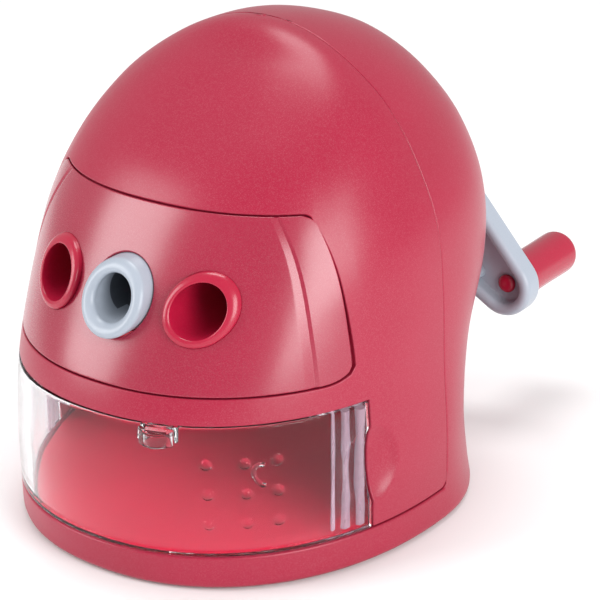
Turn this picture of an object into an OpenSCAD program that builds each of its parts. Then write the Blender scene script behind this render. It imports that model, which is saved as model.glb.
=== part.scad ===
// Hand-cranked desk pencil sharpener: dome body, clear shavings drawer, planetary helical cutter.
// Units are millimetres. +Z is up, the front (pencil side) faces -Y, the crank is at +Y.
// The origin is on the desk plane, below the line where the front and rear shells meet.

/* [Body] */
// Height of the dome above the desk
body_height = 89.1; // [87:0.1:91]
// Width over the base
body_width = 81.8; // [80:0.2:84]
// Wall thickness of the two shells
wall = 2.2; // [2.0:0.1:2.4]
// Height of the seam over the base band
band_top = 6.7; // [6.2:0.1:7.2]
// Gap left at every seam of the shells
seam = 0.4; // [0.3:0.05:0.5]

/* [Face panel] */
// Height of the panel's lower edge
panel_low = 35.9; // [35:0.1:37]
// Height of the panel's upper edge
panel_high = 63.8; // [62:0.1:65]
// Distance of the panel's side edges in front of the seam plane
panel_edge = 23.3; // [22:0.1:24]
// Thickness of the panel
panel_thick = 1.2; // [1.0:0.1:1.3]

/* [Pencil ports] */
// Height of the pencil and crank axis
axis_height = 49.7; // [49:0.1:50.5]
// Radius of the sharpening port's bore
port_bore_r = 4.0; // [3.9:0.05:4.2]
// Outside radius of the grey guide
port_r = 6.6; // [6.4:0.1:6.8]
// Sideways distance of each pencil cup from the middle
cup_x = 15.4; // [15:0.1:16]
// Bore radius of the pencil cups
cup_bore_r = 4.6; // [4.4:0.1:4.8]
// Outside radius of the pencil cups
cup_r = 6.0; // [5.8:0.1:6.2]

/* [Drawer] */
// Height of the drawer's top edge
drawer_top = 31.1; // [30:0.1:31.4]
// Distance of the drawer's ends in front of the seam plane
drawer_end = 20.8; // [20.5:0.1:21.5]
// Wall thickness of the drawer
drawer_wall = 2.0; // [1.8:0.1:2.1]
// Half of the outside width of the tray behind the front
tray_half = 34.2; // [33:0.1:34.3]
// Number of grip dots across and up
dot_count = 3; // [2:1:3]

/* [Crank] */
// Distance from the crank axis to the knob axis
crank_radius = 34.0; // [33:0.5:36]
// Angle of the arm below the horizontal at rest
crank_angle = 39.6; // [30:0.1:60]
// Thickness of the arm
arm_thick = 5.0; // [4.5:0.1:5.2]
// Length of the knob
knob_length = 19.6; // [18:0.1:22]
// Radius of the knob
knob_r = 4.5; // [4.2:0.1:4.8]

/* [Cutter] */
// Half of the pencil point's cone angle
cone_half = 11.5; // [11:0.1:12]
// Radius of the helical cutter
cutter_r = 4.3; // [4.1:0.05:4.3]
// Number of cutting edges
cutter_edges = 8; // [6:1:10]

/* [Part to draw] */
// One node, or all of them

/* [Hidden] */

shell_red = [0.78, 0.20, 0.36];
panel_red = [0.80, 0.18, 0.34];
inner_red = [0.66, 0.10, 0.22];
grey = [0.76, 0.80, 0.84];
steel = [0.72, 0.73, 0.75];
brass = [0.80, 0.66, 0.38];
dark = [0.16, 0.16, 0.17];
clear = [0.86, 0.90, 0.94, 0.35];

// ---- outer form: level sections, each half a superellipse, sized by five small tables ----
top = body_height;
kx = body_width/81.8;
zk = [for (f = [0, 0.07, 0.2, 0.35, 0.5, 0.64, 0.76, 0.86, 0.94, 1]) f*top];
half_w = [for (v = [40.9, 40.5, 40.2, 39.2, 38.6, 37.1, 32.6, 26.6, 17.6, 0]) pow(v*kx, 2)];
front_r = [for (v = [50.8, 51.4, 51.6, 50.6, 45.0, 38.2, 31.1, 20.5, 10.6, 0]) v*v];
rear_r = [for (v = [34.7, 34.5, 32.9, 35.4, 42.0, 40.2, 37.3, 31.6, 23.3, 0]) v*v];
rear_n = [2.03, 1.91, 1.83, 1.98, 2.21, 2.40, 2.41, 2.30, 2.27, 2.27];

last = len(zk) - 1;
function seg(z) = max([for (k = [0:last - 1]) z >= zk[k] ? k : 0]);
function knot_slope(v, k) =
    k == 0 ? (v[1] - v[0])/(zk[1] - zk[0]) :
    k == last ? (v[k] - v[k - 1])/(zk[k] - zk[k - 1]) :
    (v[k + 1] - v[k - 1])/(zk[k + 1] - zk[k - 1]);
function herm(v, z) =
    let (k = seg(z), h = zk[k + 1] - zk[k], u = (z - zk[k])/h)
    (2*u*u*u - 3*u*u + 1)*v[k] + (u*u*u - 2*u*u + u)*h*knot_slope(v, k)
    + (3*u*u - 2*u*u*u)*v[k + 1] + (u*u*u - u*u)*h*knot_slope(v, k + 1);

function front_n(z) = 2.16 + 0.21*pow(z/top, 2);
// One level: height, three reaches, their relative slopes and the two exponents.
function level(z) =
    let (e = 0.02, a = max(herm(half_w, z), 1e-6), f = max(herm(front_r, z), 1e-6),
         r = max(herm(rear_r, z), 1e-6), zl = max(z - e, 0), zh = min(z + e, top))
    [z, sqrt(a), sqrt(f), sqrt(r),
     (herm(half_w, zh) - herm(half_w, zl))/(zh - zl)/(2*a),
     (herm(front_r, zh) - herm(front_r, zl))/(zh - zl)/(2*f),
     (herm(rear_r, zh) - herm(rear_r, zl))/(zh - zl)/(2*r),
     front_n(z), herm(rear_n, z)];
// Point at angle t on a level, pushed inward by d; the front half starts s in front of the seam plane.
function place(lv, t, d, s) =
    let (c = cos(t), n = sin(t), fr = n < 0, q = fr ? lv[7] : lv[8],
         a = pow(abs(c), 2/q), b = pow(abs(n), 2/q), h = fr ? lv[2] : lv[3],
         reach = fr ? max(h - s, 0) : h,
         level_w = min(max((lv[0] - 8)/6, 0), 1),
         nx = abs(t) == 90 ? 0 : sign(c)*pow(a, q - 1)/lv[1],
         ny = abs(b) < 1e-9 ? 0 : sign(n)*pow(b, q - 1)/h,
         nz = -(pow(a, q)*lv[4] + pow(b, q)*(fr ? lv[5] : lv[6]))*level_w,
         m = sqrt(nx*nx + ny*ny + nz*nz))
    [sign(c)*lv[1]*a - d*nx/m,
     sign(n)*reach*b - s - d*ny/m,
     lv[0] - d*nz/m];
// Angle at which a level is y0 in front of the seam plane.
function edge_angle(z, y0) =
    let (zc = min(z, panel_high)) asin(pow(y0/sqrt(herm(front_r, zc)), front_n(zc)/2));

// ---- a wall built of slabs on a grid of columns (i), rows (j) and depths (k) ----
// on[k][j][i] tells whether a slab is solid; wrap joins the last column to the first;
// the last row may close in one point at the crown.
function has(on, i, j, k, nu, wrap) =
    k < 0 || j < 0 || k >= len(on) || j >= len(on[0]) ? false :
    wrap ? on[k][j][(i + nu) % nu] : i < 0 || i >= nu ? false : on[k][j][i];
function vid(i, j, k, nu, nv, wrap, pole) =
    let (nc = wrap ? nu : nu + 1, col = pole && j == nv ? 0 : wrap ? (i + nu) % nu : i)
    k*nc*(nv + 1) + j*nc + col;
function two(a, b, c, d) = [for (t = [[a, b, c], [a, c, d]])
    if (t[0] != t[1] && t[1] != t[2] && t[0] != t[2]) t];
module slab_wall(grid, on, wrap, pole) {
    nv = len(grid[0]) - 1;
    nc = len(grid[0][0]);
    nu = wrap ? nc : nc - 1;
    function v(i, j, k) = vid(i, j, k, nu, nv, wrap, pole);
    function h(i, j, k) = has(on, i, j, k, nu, wrap);
    faces = [for (k = [0:len(on) - 1], j = [0:nv - 1], i = [0:nu - 1]) if (h(i, j, k)) each concat(
        h(i, j, k - 1) ? [] : two(v(i, j, k), v(i, j + 1, k), v(i + 1, j + 1, k), v(i + 1, j, k)),
        h(i, j, k + 1) ? [] :
            two(v(i, j, k + 1), v(i + 1, j, k + 1), v(i + 1, j + 1, k + 1), v(i, j + 1, k + 1)),
        h(i - 1, j, k) ? [] : two(v(i, j + 1, k + 1), v(i, j + 1, k), v(i, j, k), v(i, j, k + 1)),
        h(i + 1, j, k) ? [] :
            two(v(i + 1, j, k), v(i + 1, j + 1, k), v(i + 1, j + 1, k + 1), v(i + 1, j, k + 1)),
        h(i, j - 1, k) ? [] : two(v(i, j, k), v(i + 1, j, k), v(i + 1, j, k + 1), v(i, j, k + 1)),
        h(i, j + 1, k) ? [] : pole && j == nv - 1 ? [] :
            two(v(i, j + 1, k + 1), v(i + 1, j + 1, k + 1), v(i + 1, j + 1, k), v(i, j + 1, k)))];
    polyhedron(points = [for (k = grid, j = k, p = j) p], faces = faces);
}
function steps(a, b, n) = [for (i = [1:n]) a + (b - a)*i/n];
function both_sides(h) = concat([for (t = h) -180 - t], [for (i = [len(h) - 2:-1:0]) h[i]]);

// Puts a turned shape, drawn along +Z, on the pencil axis (or x beside it) from y towards the back.
module along_y(y, x = 0) { translate([x, y, axis_height]) rotate([-90, 0, 0]) children(); }
// One copy on the left and one on the right.
module both_x(x) { for (s = [-1, 1]) translate([s*x, 0, 0]) children(); }
// A gap round a shaft that lets it turn.
run_fit = 0.05;
// Screws: shank radius, pilot hole radius, clear hole radius.
shank_r = 1.25;
pilot_r = 1.3;
clear_r = 1.7;

// ---- rear shell with the base band ----
base_low = 0.5;
crown_rows = [for (i = [1:10]) top - (top - 66)*pow(1 - i/10, 1.8)];
rear_rows = concat([base_low, 1.6, 3.4, 5.2, band_top], steps(band_top, 66, 20), crown_rows);
rear_cols = [for (i = [0:71]) i*5];
band_rows = 4;
front_cols = 36;
module rear_shell_wall() {
    lv = [for (z = rear_rows) level(z)];
    foot = 0.6;
    grid = [for (d = [0, wall]) [for (j = [0:len(lv) - 1]) [for (t = rear_cols)
        j == len(lv) - 1 ? [0, 0, top - d] :
        place(lv[j], t > 180 ? t - 360 : t, d == 0 && j == 0 ? foot : d, 0)]]];
    on = [[for (j = [0:len(lv) - 2]) [for (i = [0:71]) j < band_rows || i < front_cols]]];
    slab_wall(grid, on, true, true);
}
bush_r = 5.0;
screw_x = 17;
seat_y = 28.4;
screw_z = 22;
spot_r = 3.1;
module rear_shell() {
    color(shell_red) difference() {
        rear_shell_wall();
        along_y(30) cylinder(r = bush_r + run_fit, h = 20, $fn = 64);
        both_x(screw_x) translate([0, 0, screw_z]) rotate([-90, 0, 0]) {
            translate([0, 0, 20]) cylinder(r = clear_r, h = 20, $fn = 32);
            translate([0, 0, seat_y]) cylinder(r = spot_r, h = 10, $fn = 40);
        }
    }
}

// ---- front shell: cheeks, bridge over the drawer, frame of the face panel and crown ----
window_top = drawer_top + seam;
ledge = 2.4;
thumb_z = 19.3;
function thumb(y, z) = 1.1*max(0, 1 - pow((y + drawer_end + 0.4)/6.0, 2) - pow((z - thumb_z)/7.0, 2));
low_rows = concat([band_top + seam], steps(band_top + seam, window_top, 11));
front_rows = concat(low_rows, [33.6, panel_low, panel_low + ledge],
    steps(panel_low + ledge, panel_high - ledge, 8), [panel_high],
    [for (i = [1:9]) top - (top - panel_high)*pow(1 - i/9, 1.8)]);
leg_cols = 7;
function front_half(z) = let (a = edge_angle(z, drawer_end), b = edge_angle(z, panel_edge),
    c = edge_angle(z, panel_edge + ledge*0.8))
    concat([0], [for (i = [1:leg_cols]) -a*i/leg_cols], [-b, -c], [for (s = steps(c, 90, 9)) -s]);
panel_col = leg_cols + 1;
module front_shell() {
    lv = [for (z = front_rows) level(z)];
    nu = 2*(len(front_half(10)) - 1);
    nj = len(lv) - 1;
    jw = len(low_rows) - 1;
    jp = jw + 2;
    jq = nj - 9;
    shelf = panel_thick + 0.1;
    function skin(l, t) = thumb(place(l, t, 0, seam)[1], l[0]);
    grid = [for (d = [0, shelf, wall]) [for (l = lv) [for (t = both_sides(front_half(l[0])))
        l[0] >= top ? [0, -seam, top - d] : place(l, t, d > 0 ? d : skin(l, t), seam)]]];
    on = [for (k = [0, 1]) [for (j = [0:nj - 1]) [for (i = [0:nu - 1])
        let (m = min(i, nu - 1 - i))
        !(j < jw && m >= leg_cols)
        && !(k == 0 && j >= jp && j < jq && m >= panel_col)
        && !(k == 1 && j > jp && j < jq - 1 && m > panel_col)]]];
    color(shell_red) slab_wall(grid, on, false, true);
}

// ---- face panel ----
panel_gap = 0.25;
module face_panel() {
    low = panel_low + panel_gap;
    zs = concat([low], steps(low, panel_high - panel_gap, 12));
    half = 10;
    grid = [for (d = [0, panel_thick]) [for (z = zs)
        let (lv = level(z), a = edge_angle(z, panel_edge + panel_gap))
        [for (t = both_sides([for (i = [0:half]) -a - (90 - a)*i/half])) place(lv, t, d, seam)]]];
    on = [[for (j = [0:len(zs) - 2]) [for (i = [0:2*half - 1]) true]]];
    color(panel_red) difference() {
        slab_wall(grid, on, false, false);
        along_y(-60) cylinder(r = port_r + 0.4, h = 40, $fn = 72);
        both_x(cup_x) along_y(-60) cylinder(r = cup_r + 0.05, h = 40, $fn = 72);
    }
}

// A tube along Y whose mouth is cut parallel to the sloping face.
face_tilt = 25.5;
module slant_tube(r, bore, y_mouth, y_end, yaw) {
    difference() {
        translate([0, -60, 0]) rotate([-90, 0, 0]) cylinder(r = r, h = y_end + 60, $fn = 72);
        translate([0, y_mouth, 0]) rotate([-face_tilt, 0, yaw])
            translate([-30, -60, -30]) cube([60, 60, 60]);
        translate([0, -61, 0]) rotate([-90, 0, 0]) cylinder(r = bore, h = y_end + 62, $fn = 72);
    }
}
// ---- pencil cups each side of the sharpening port ----
cup_mouth = -40.9;
cup_end = -26;
cup_yaw = 22;
module pencil_cup(s) {
    color(panel_red) translate([s*cup_x, 0, axis_height]) union() {
        slant_tube(cup_r, cup_bore_r, cup_mouth, cup_end, s*cup_yaw);
        translate([0, cup_end - 0.01, 0]) rotate([-90, 0, 0]) cylinder(r = cup_r, h = 1.4, $fn = 72);
    }
}
module pencil_cup_left() { pencil_cup(-1); }
module pencil_cup_right() { pencil_cup(1); }

// ---- grey pencil guide ----
guide_mouth = -43.9;
guide_end = -22.2;
tube_y = -38;
throat = 5.4;
funnel_y = -47.5;
module guide_ring() {
    color(grey) translate([0, 0, axis_height]) difference() {
        union() {
            slant_tube(port_r, port_bore_r, guide_mouth, -34, 0);
            translate([0, tube_y, 0]) rotate([-90, 0, 0]) cylinder(r = throat, h = guide_end - tube_y, $fn = 64);
        }
        translate([0, -60, 0]) rotate([-90, 0, 0]) cylinder(r = port_bore_r, h = 60, $fn = 72);
        translate([0, funnel_y, 0]) rotate([-90, 0, 0])
            cylinder(r1 = port_bore_r + 2.6, r2 = port_bore_r - 0.01, h = 9, $fn = 72);
    }
}

// ---- chassis: floor under the drawer, side walls, roof with chute, screw posts ----
function plan(z, d, t0, t1, n) = let (lv = level(z))
    [for (i = [0:n]) let (p = place(lv, t0 + (t1 - t0)*i/n, d, 0)) [p[0], p[1]]];
floor_z = 5.2;
floor_t = 1.4;
side_x = 35.1;
side_t = 1.1;
strap_z = 28.9;
strap_t = 1.6;
side_y0 = -9;
side_len = 12;
roof_z = 31.4;
roof_t = 1.8;
roof_x = 20;
roof_y = -24;
rib_y = 17;
rib_t = 2;
chute_x = 11;
chute_y0 = -14;
chute_y1 = 12;
floor_back = [[33, 12], [28, 19], [-28, 19], [-33, 12]];
post_r = 3.0;
frame_shank_r = 1.0;
module scale_x(s) { mirror([s < 0 ? 1 : 0, 0, 0]) children(); }
post_xy = [[29, 8], [-29, 8], [13, -39], [-13, -39]];
module chassis() {
    color(inner_red) difference() {
        union() {
            translate([0, 0, floor_z]) linear_extrude(floor_t)
                polygon(concat(plan(6, wall + 0.4, -180, 0, 40), floor_back));
            for (s = [-1, 1]) scale_x(s) {
                translate([side_x, side_y0, floor_z])
                    cube([side_t, side_len, strap_z - floor_z + strap_t]);
                translate([roof_x - 2, side_y0, strap_z])
                    cube([side_x + side_t - roof_x + 2, side_len, strap_t]);
                translate([roof_x - 2, side_y0, strap_z])
                    cube([2, side_len, roof_z - strap_z + roof_t]);
            }
            translate([-roof_x, roof_y, roof_z]) cube([2*roof_x, rib_y + rib_t - roof_y, roof_t]);
            translate([-roof_x, rib_y, floor_z]) cube([2*roof_x, rib_t, roof_z - floor_z + roof_t]);
            both_x(screw_x) translate([0, rib_y + rib_t, screw_z]) rotate([-90, 0, 0])
                cylinder(r = post_r, h = 6, $fn = 40);
            for (p = post_xy) translate([p[0], p[1], plate_low + plate_t + 0.02])
                cylinder(r = post_r, h = floor_z - plate_low - plate_t + 0.5, $fn = 40);
        }
        translate([-chute_x, chute_y0, roof_z - 1]) cube([2*chute_x, chute_y1 - chute_y0, roof_t + 2]);
        both_x(screw_x) translate([0, 16, screw_z]) rotate([-90, 0, 0])
            cylinder(r = pilot_r, h = 10, $fn = 32);
        for (p = post_xy) translate([p[0], p[1], 3]) cylinder(r = pilot_r, h = 3.4, $fn = 32);
        for (p = frame_screw_xy) translate([p[0], p[1], roof_z - 1])
            cylinder(r = frame_shank_r + run_fit, h = 4, $fn = 32);
    }
}

// ---- base plate, feet and the screws from below ----
plate_low = 1.5;
plate_t = 2.0;
module base_plate() {
    color(inner_red) difference() {
        translate([0, 0, plate_low]) linear_extrude(plate_t)
            polygon(plan(2.5, wall + 0.3, -180, 175, 71));
        for (p = post_xy) translate([p[0], p[1], plate_low - 1]) cylinder(r = 1.6, h = 4, $fn = 32);
        for (p = post_xy) translate([p[0], p[1], plate_low - 1]) cylinder(r = spot_r, h = 1.9, $fn = 40);
    }
}
module foot_mat() {
    color(dark) difference() {
        linear_extrude(plate_low - 0.05) polygon(plan(2.5, 7, -180, 175, 71));
        for (p = post_xy) translate([p[0], p[1], -1]) cylinder(r = 3.4, h = 4, $fn = 40);
    }
}
module screw(len, r, head_r, head_t) {
    difference() {
        union() {
            cylinder(r = r, h = len, $fn = 32);
            translate([0, 0, -head_t]) cylinder(r = head_r, h = head_t + 0.01, $fn = 40);
        }
        for (a = [0, 90]) rotate(a) translate([-head_r*0.62, -0.35, -head_t - 0.1])
            cube([head_r*1.24, 0.7, head_t*0.55 + 0.1]);
    }
}
module base_screws() {
    color(steel) for (p = post_xy) translate([p[0], p[1], plate_low + 0.85]) screw(3.7, shank_r, 2.8, 0.9);
}
module shell_screws() {
    color(steel) for (s = [-1, 1]) translate([s*screw_x, seat_y + 0.05, screw_z]) rotate([90, 0, 0])
        screw(10, shank_r, 2.6, 1.6);
}

// ---- mechanism frame: two bearing plates on rails, screwed to the chassis roof ----
plate_r = 16.3;
front_plate_y = -21.4;
rear_plate_y = 14.0;
frame_plate_t = 2.4;
hub_r = 6.35;
axle_r = 3.0;
rail_t = 2.4;
rail_w = 3.8;
rail_z = roof_z + roof_t + 0.05;
rail_x = 15.2;
frame_screw_xy = [[rail_x, -16], [-rail_x, -16], [rail_x, 9], [-rail_x, 9]];
module frame_plate(y, bore) {
    translate([0, y, axis_height]) rotate([-90, 0, 0]) difference() {
        union() {
            cylinder(r = plate_r, h = frame_plate_t, $fn = 96);
            translate([-plate_r, 0, 0]) cube([2*plate_r, axis_height - rail_z, frame_plate_t]);
        }
        translate([0, 0, -1]) cylinder(r = bore, h = frame_plate_t + 2, $fn = 72);
    }
}
module mech_frame() {
    color(dark) difference() {
        union() {
            frame_plate(front_plate_y, hub_r + run_fit);
            frame_plate(rear_plate_y, axle_r + run_fit + 0.01);
            both_x(rail_x) translate([-rail_w/2, front_plate_y + 1, rail_z])
                cube([rail_w, rear_plate_y - front_plate_y, rail_t]);
        }
        for (p = frame_screw_xy) translate([p[0], p[1], rail_z - 1]) cylinder(r = 1.2, h = 5, $fn = 32);
    }
}
module frame_screws() {
    color(steel) for (p = frame_screw_xy) translate([p[0], p[1], rail_z + rail_t + 0.02])
        rotate([180, 0, 0]) screw(4.2, frame_shank_r, 2.0, 1.3);
}

// ---- gears: fixed internal ring and the cutter's pinion ----
ring_teeth = 36;
pinion_teeth = 12;
gear_mod = 0.75;
ring_pitch_r = ring_teeth*gear_mod/2;
pinion_pitch_r = pinion_teeth*gear_mod/2;
pinion_y = -13.2;
pinion_off = ring_pitch_r - pinion_pitch_r;
gear_add = 0.62;
gear_ded = 0.95;
// Trapezoid teeth: half angles of the flank at the tip and at the root radius.
function tooth_ring(n, r_root, r_tip, a_root, a_tip, start) = [for (i = [0:n - 1])
    for (q = [[r_root, -a_root], [r_tip, -a_tip], [r_tip, a_tip], [r_root, a_root]])
    let (w = start + i*360/n + q[1]) [q[0]*cos(w), q[0]*sin(w)]];
module ring_gear() {
    y0 = front_plate_y + frame_plate_t + 0.05;
    teeth_y = -16.0;
    end_y = -10.4;
    r_root = ring_pitch_r + gear_ded;
    color(steel) translate([0, 0, axis_height]) rotate([-90, 0, 0]) difference() {
        translate([0, 0, y0]) cylinder(r = plate_r, h = end_y - y0, $fn = 96);
        translate([0, 0, y0 - 1])
            cylinder(r = ring_pitch_r - gear_add + 0.3, h = teeth_y - y0 + 1, $fn = 96);
        translate([0, 0, teeth_y - 1]) linear_extrude(end_y - teeth_y + 2)
            polygon(tooth_ring(ring_teeth, r_root, ring_pitch_r - gear_add, 3.4, 1.3, -90 + 5));
    }
}
// Everything on the cutter's own axis: s runs along it, zero in the middle of the pinion.
module cutter_axis() {
    translate([0, pinion_y, axis_height + pinion_off]) rotate([-90 - cone_half, 0, 0]) children();
}
pinion_w = 2.4;
module cutter_pinion() {
    color(brass) cutter_axis() difference() {
        translate([0, 0, -pinion_w/2]) linear_extrude(pinion_w)
            polygon(tooth_ring(pinion_teeth, pinion_pitch_r - gear_ded, pinion_pitch_r + gear_add,
                8.6, 3.2, -90));
        translate([0, 0, -2]) cylinder(r = pin_r + 0.06, h = 4, $fn = 48);
    }
}
pin_r = 1.2;
cutter_start = 2.8;
cutter_len = 19.0;
module cutter() {
    core_r = cutter_r - 0.9;
    color(steel) cutter_axis() translate([0, 0, 1.3]) difference() {
        union() {
            cylinder(r = core_r - 0.8, h = cutter_start - 1.3 + cutter_len + 0.2, $fn = 48);
            translate([0, 0, cutter_start - 1.3]) cylinder(r = core_r, h = cutter_len, $fn = 64);
            translate([0, 0, cutter_start - 1.3]) linear_extrude(cutter_len, twist = -150, slices = 26)
                polygon(tooth_ring(cutter_edges, core_r - 0.2, cutter_r, 14, 3.5, 0));
        }
        translate([0, 0, -1]) cylinder(r = pin_r + 0.06, h = cutter_len + 8, $fn = 48);
    }
}
pin_s0 = -4.6;
pin_s1 = 25.6;
module cutter_pin() {
    color(steel) cutter_axis() translate([0, 0, pin_s0]) cylinder(r = pin_r, h = pin_s1 - pin_s0, $fn = 48);
}

// ---- carrier: front hub and disc, two bars, rear block on the axle ----
disc_r = 12.3;
disc_y = -18.3;
disc_t = 2.2;
block_y = 9.6;
block_t = 3.6;
bar_x = 9.4;
module carrier() {
    color(grey) difference() {
        translate([0, 0, axis_height]) union() {
            translate([0, front_plate_y + 0.2, 0]) rotate([-90, 0, 0])
                cylinder(r = hub_r, h = disc_y - front_plate_y, $fn = 72);
            translate([0, disc_y, 0]) rotate([-90, 0, 0]) cylinder(r = disc_r, h = disc_t, $fn = 96);
            translate([0, block_y, 0]) rotate([-90, 0, 0]) cylinder(r = disc_r, h = block_t, $fn = 96);
            both_x(bar_x) translate([-1.3, disc_y + 1, -4.5]) cube([2.6, block_y - disc_y, 7]);
        }
        along_y(front_plate_y - 1) cylinder(r = port_bore_r + 0.4, h = 8, $fn = 72);
        along_y(block_y + 1.2) cylinder(r = axle_r + run_fit, h = 8, $fn = 64);
        cutter_axis() translate([0, 0, -8]) cylinder(r = pin_r + 0.05, h = 40, $fn = 48);
    }
}

// ---- axle, clip and rear bush ----
axle_y0 = block_y + 1.3;
arm_y = 43.2;
axle_y1 = arm_y + arm_thick - 1.2;
module crank_axle() {
    color(steel) translate([0, 0, axis_height]) rotate([-90, 0, 0]) difference() {
        translate([0, 0, axle_y0]) cylinder(r = axle_r, h = axle_y1 - axle_y0, $fn = 64);
        translate([0, 0, axle_y1 - 8]) cylinder(r = 1.25, h = 9, $fn = 32);
        translate([0, 0, clip_y]) difference() {
            cylinder(r = axle_r + 1, h = 1.0, $fn = 64);
            translate([0, 0, -1]) cylinder(r = axle_r - 0.5, h = 3, $fn = 64);
        }
    }
}
clip_y = 17.2;
module axle_clip() {
    color(steel) translate([0, clip_y + 0.1, axis_height]) rotate([-90, 0, 0]) difference() {
        cylinder(r = 5.4, h = 0.8, $fn = 64);
        translate([0, 0, -1]) cylinder(r = axle_r - 0.45, h = 3, $fn = 64);
        translate([-1.9, 0, -1]) cube([3.8, 8, 3]);
    }
}
module rear_bush() {
    color(brass) translate([0, 0, axis_height]) rotate([-90, 0, 0]) difference() {
        union() {
            translate([0, 0, 34.6]) cylinder(r = bush_r, h = 42.6 - 34.6, $fn = 64);
            translate([0, 0, 34.6]) cylinder(r = 7.0, h = 1.6, $fn = 64);
        }
        translate([0, 0, 30]) cylinder(r = axle_r + run_fit + 0.01, h = 20, $fn = 64);
    }
}

// ---- crank arm, its screw, the knob's pin and the knob ----
hub_end_r = 11.6;
tip_r = 6.2;
rim_w = 2.5;
web_t = 2.0;
module arm_outline(inset) {
    ra = hub_end_r - inset;
    rb = tip_r - inset;
    w = acos((hub_end_r - tip_r)/crank_radius);
    union() {
        circle(r = ra, $fn = 96);
        translate([crank_radius, 0]) circle(r = rb, $fn = 72);
        polygon([[ra*cos(w), ra*sin(w)], [crank_radius + rb*cos(w), rb*sin(w)],
            [crank_radius + rb*cos(w), -rb*sin(w)], [ra*cos(w), -ra*sin(w)]]);
    }
}
module at_crank() { translate([0, 0, axis_height]) rotate([-90, crank_angle, 0]) children(); }
module crank_arm() {
    color(grey) at_crank() translate([0, 0, arm_y]) difference() {
        union() {
            difference() {
                linear_extrude(arm_thick) arm_outline(0);
                translate([0, 0, -1]) linear_extrude(arm_thick - web_t + 1) arm_outline(rim_w);
            }
            cylinder(r = 6.4, h = arm_thick - 1, $fn = 64);
            translate([28.2, 3.4, 1.0]) cylinder(r = 1.4, h = arm_thick - 2, $fn = 32);
        }
        translate([0, 0, -1]) cylinder(r = axle_r + 0.05, h = arm_thick - 0.15, $fn = 64);
        translate([0, 0, -1]) cylinder(r = 1.4, h = arm_thick + 3, $fn = 32);
        translate([crank_radius, 0, -1]) cylinder(r = knob_pin_r + 0.06, h = arm_thick + 3, $fn = 48);
    }
}
module arm_screw() {
    color(steel) at_crank() translate([0, 0, arm_y + arm_thick + 0.02]) rotate([180, 0, 0])
        screw(8, 1.2, 2.9, 1.4);
}
knob_pin_r = 1.6;
knob_y = arm_y + arm_thick + 0.3;
web_y = arm_y + arm_thick - web_t;
module knob_pin() {
    color(panel_red) at_crank() translate([crank_radius, 0, 0]) {
        translate([0, 0, web_y - 1]) cylinder(r = knob_pin_r, h = knob_y + 16 - web_y, $fn = 48);
        translate([0, 0, web_y - 1.3]) cylinder(r = 2.1, h = 1.0, $fn = 48);
    }
}
knob_round = 2.2;
module crank_knob() {
    color(shell_red) at_crank() translate([crank_radius, 0, knob_y]) difference() {
        rotate_extrude($fn = 96) union() {
            translate([0, 0.4]) square([knob_r, knob_length - knob_round - 0.4]);
            square([knob_r - 0.4, knob_length - knob_round]);
            square([knob_r - knob_round, knob_length]);
            translate([knob_r - knob_round, knob_length - knob_round]) intersection() {
                circle(r = knob_round, $fn = 64);
                square(knob_round + 1);
            }
        }
        translate([0, 0, -1]) cylinder(r = knob_pin_r + 0.05, h = 16.8, $fn = 48);
    }
}

// ---- drawer: clear front flush with the body, floor, side and back walls, grip dots ----
drawer_low = band_top + 0.5;
front_drop = 0.45;
tray_back = 8;
tray_front = -27.2;
tray_top = 28.6;
tray_t = 1.8;
floor_low = drawer_low + 0.3;
module drawer_front() {
    zs = concat([drawer_low], steps(drawer_low, drawer_top, 10));
    grid = [for (d = [0, drawer_wall]) [for (z = zs)
        let (lv = level(z), a = edge_angle(z, drawer_end + front_drop))
        [for (t = both_sides([for (i = [0:15]) -a - (90 - a)*pow(i/15, 0.9)]))
            place(lv, t, d > 0 ? d : thumb(place(lv, t, 0, seam)[1], z), seam)]]];
    slab_wall(grid, [[for (j = [0:9]) [for (i = [0:29]) true]]], false, false);
}
dot_step = 5.6;
dot_z = 19.0;
dot_y = 45.6;
dot_pitch = 4.2;
dot_r = 1.1;
module drawer() {
    color(clear) union() {
        drawer_front();
        intersection() {
            translate([0, 0, floor_low]) linear_extrude(1.6)
                polygon(concat(plan(8, 1.0, -180, 0, 40), [[39, tray_back], [-39, tray_back]]));
            translate([-tray_half, -60, 0]) cube([2*tray_half, 60 + tray_back, 20]);
        }
        both_x(tray_half - tray_t/2) translate([-tray_t/2, tray_front, floor_low])
            cube([tray_t, tray_back - tray_front, tray_top - floor_low]);
        translate([-tray_half, tray_back - tray_t, floor_low])
            cube([2*tray_half, tray_t, tray_top - floor_low]);
        for (i = [0:dot_count - 1], j = [0:dot_count - 1])
            let (z = dot_z + (j - 1)*dot_step, a = edge_angle(z, dot_y - i*dot_pitch))
            translate(place(level(z), -a, 0.5, seam)) sphere(r = dot_r, $fn = 20);
    }
}

rear_shell();
front_shell();
face_panel();
pencil_cup_left();
pencil_cup_right();
guide_ring();
chassis();
base_plate();
foot_mat();
base_screws();
shell_screws();
mech_frame();
frame_screws();
ring_gear();
rear_bush();
carrier();
crank_axle();
axle_clip();
cutter_pin();
cutter();
cutter_pinion();
crank_arm();
arm_screw();
knob_pin();
crank_knob();
drawer();
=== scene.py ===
# %% [markdown]
# # A hand-cranked pencil sharpener
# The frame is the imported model: every size and place below comes from it or from a few named
# values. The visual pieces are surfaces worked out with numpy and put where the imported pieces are.
# The work goes: the body's form, the two shells, the face panel, the pencil ports, the clear
# drawer, the crank, the materials, and last the light, the floor and the camera.

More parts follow.
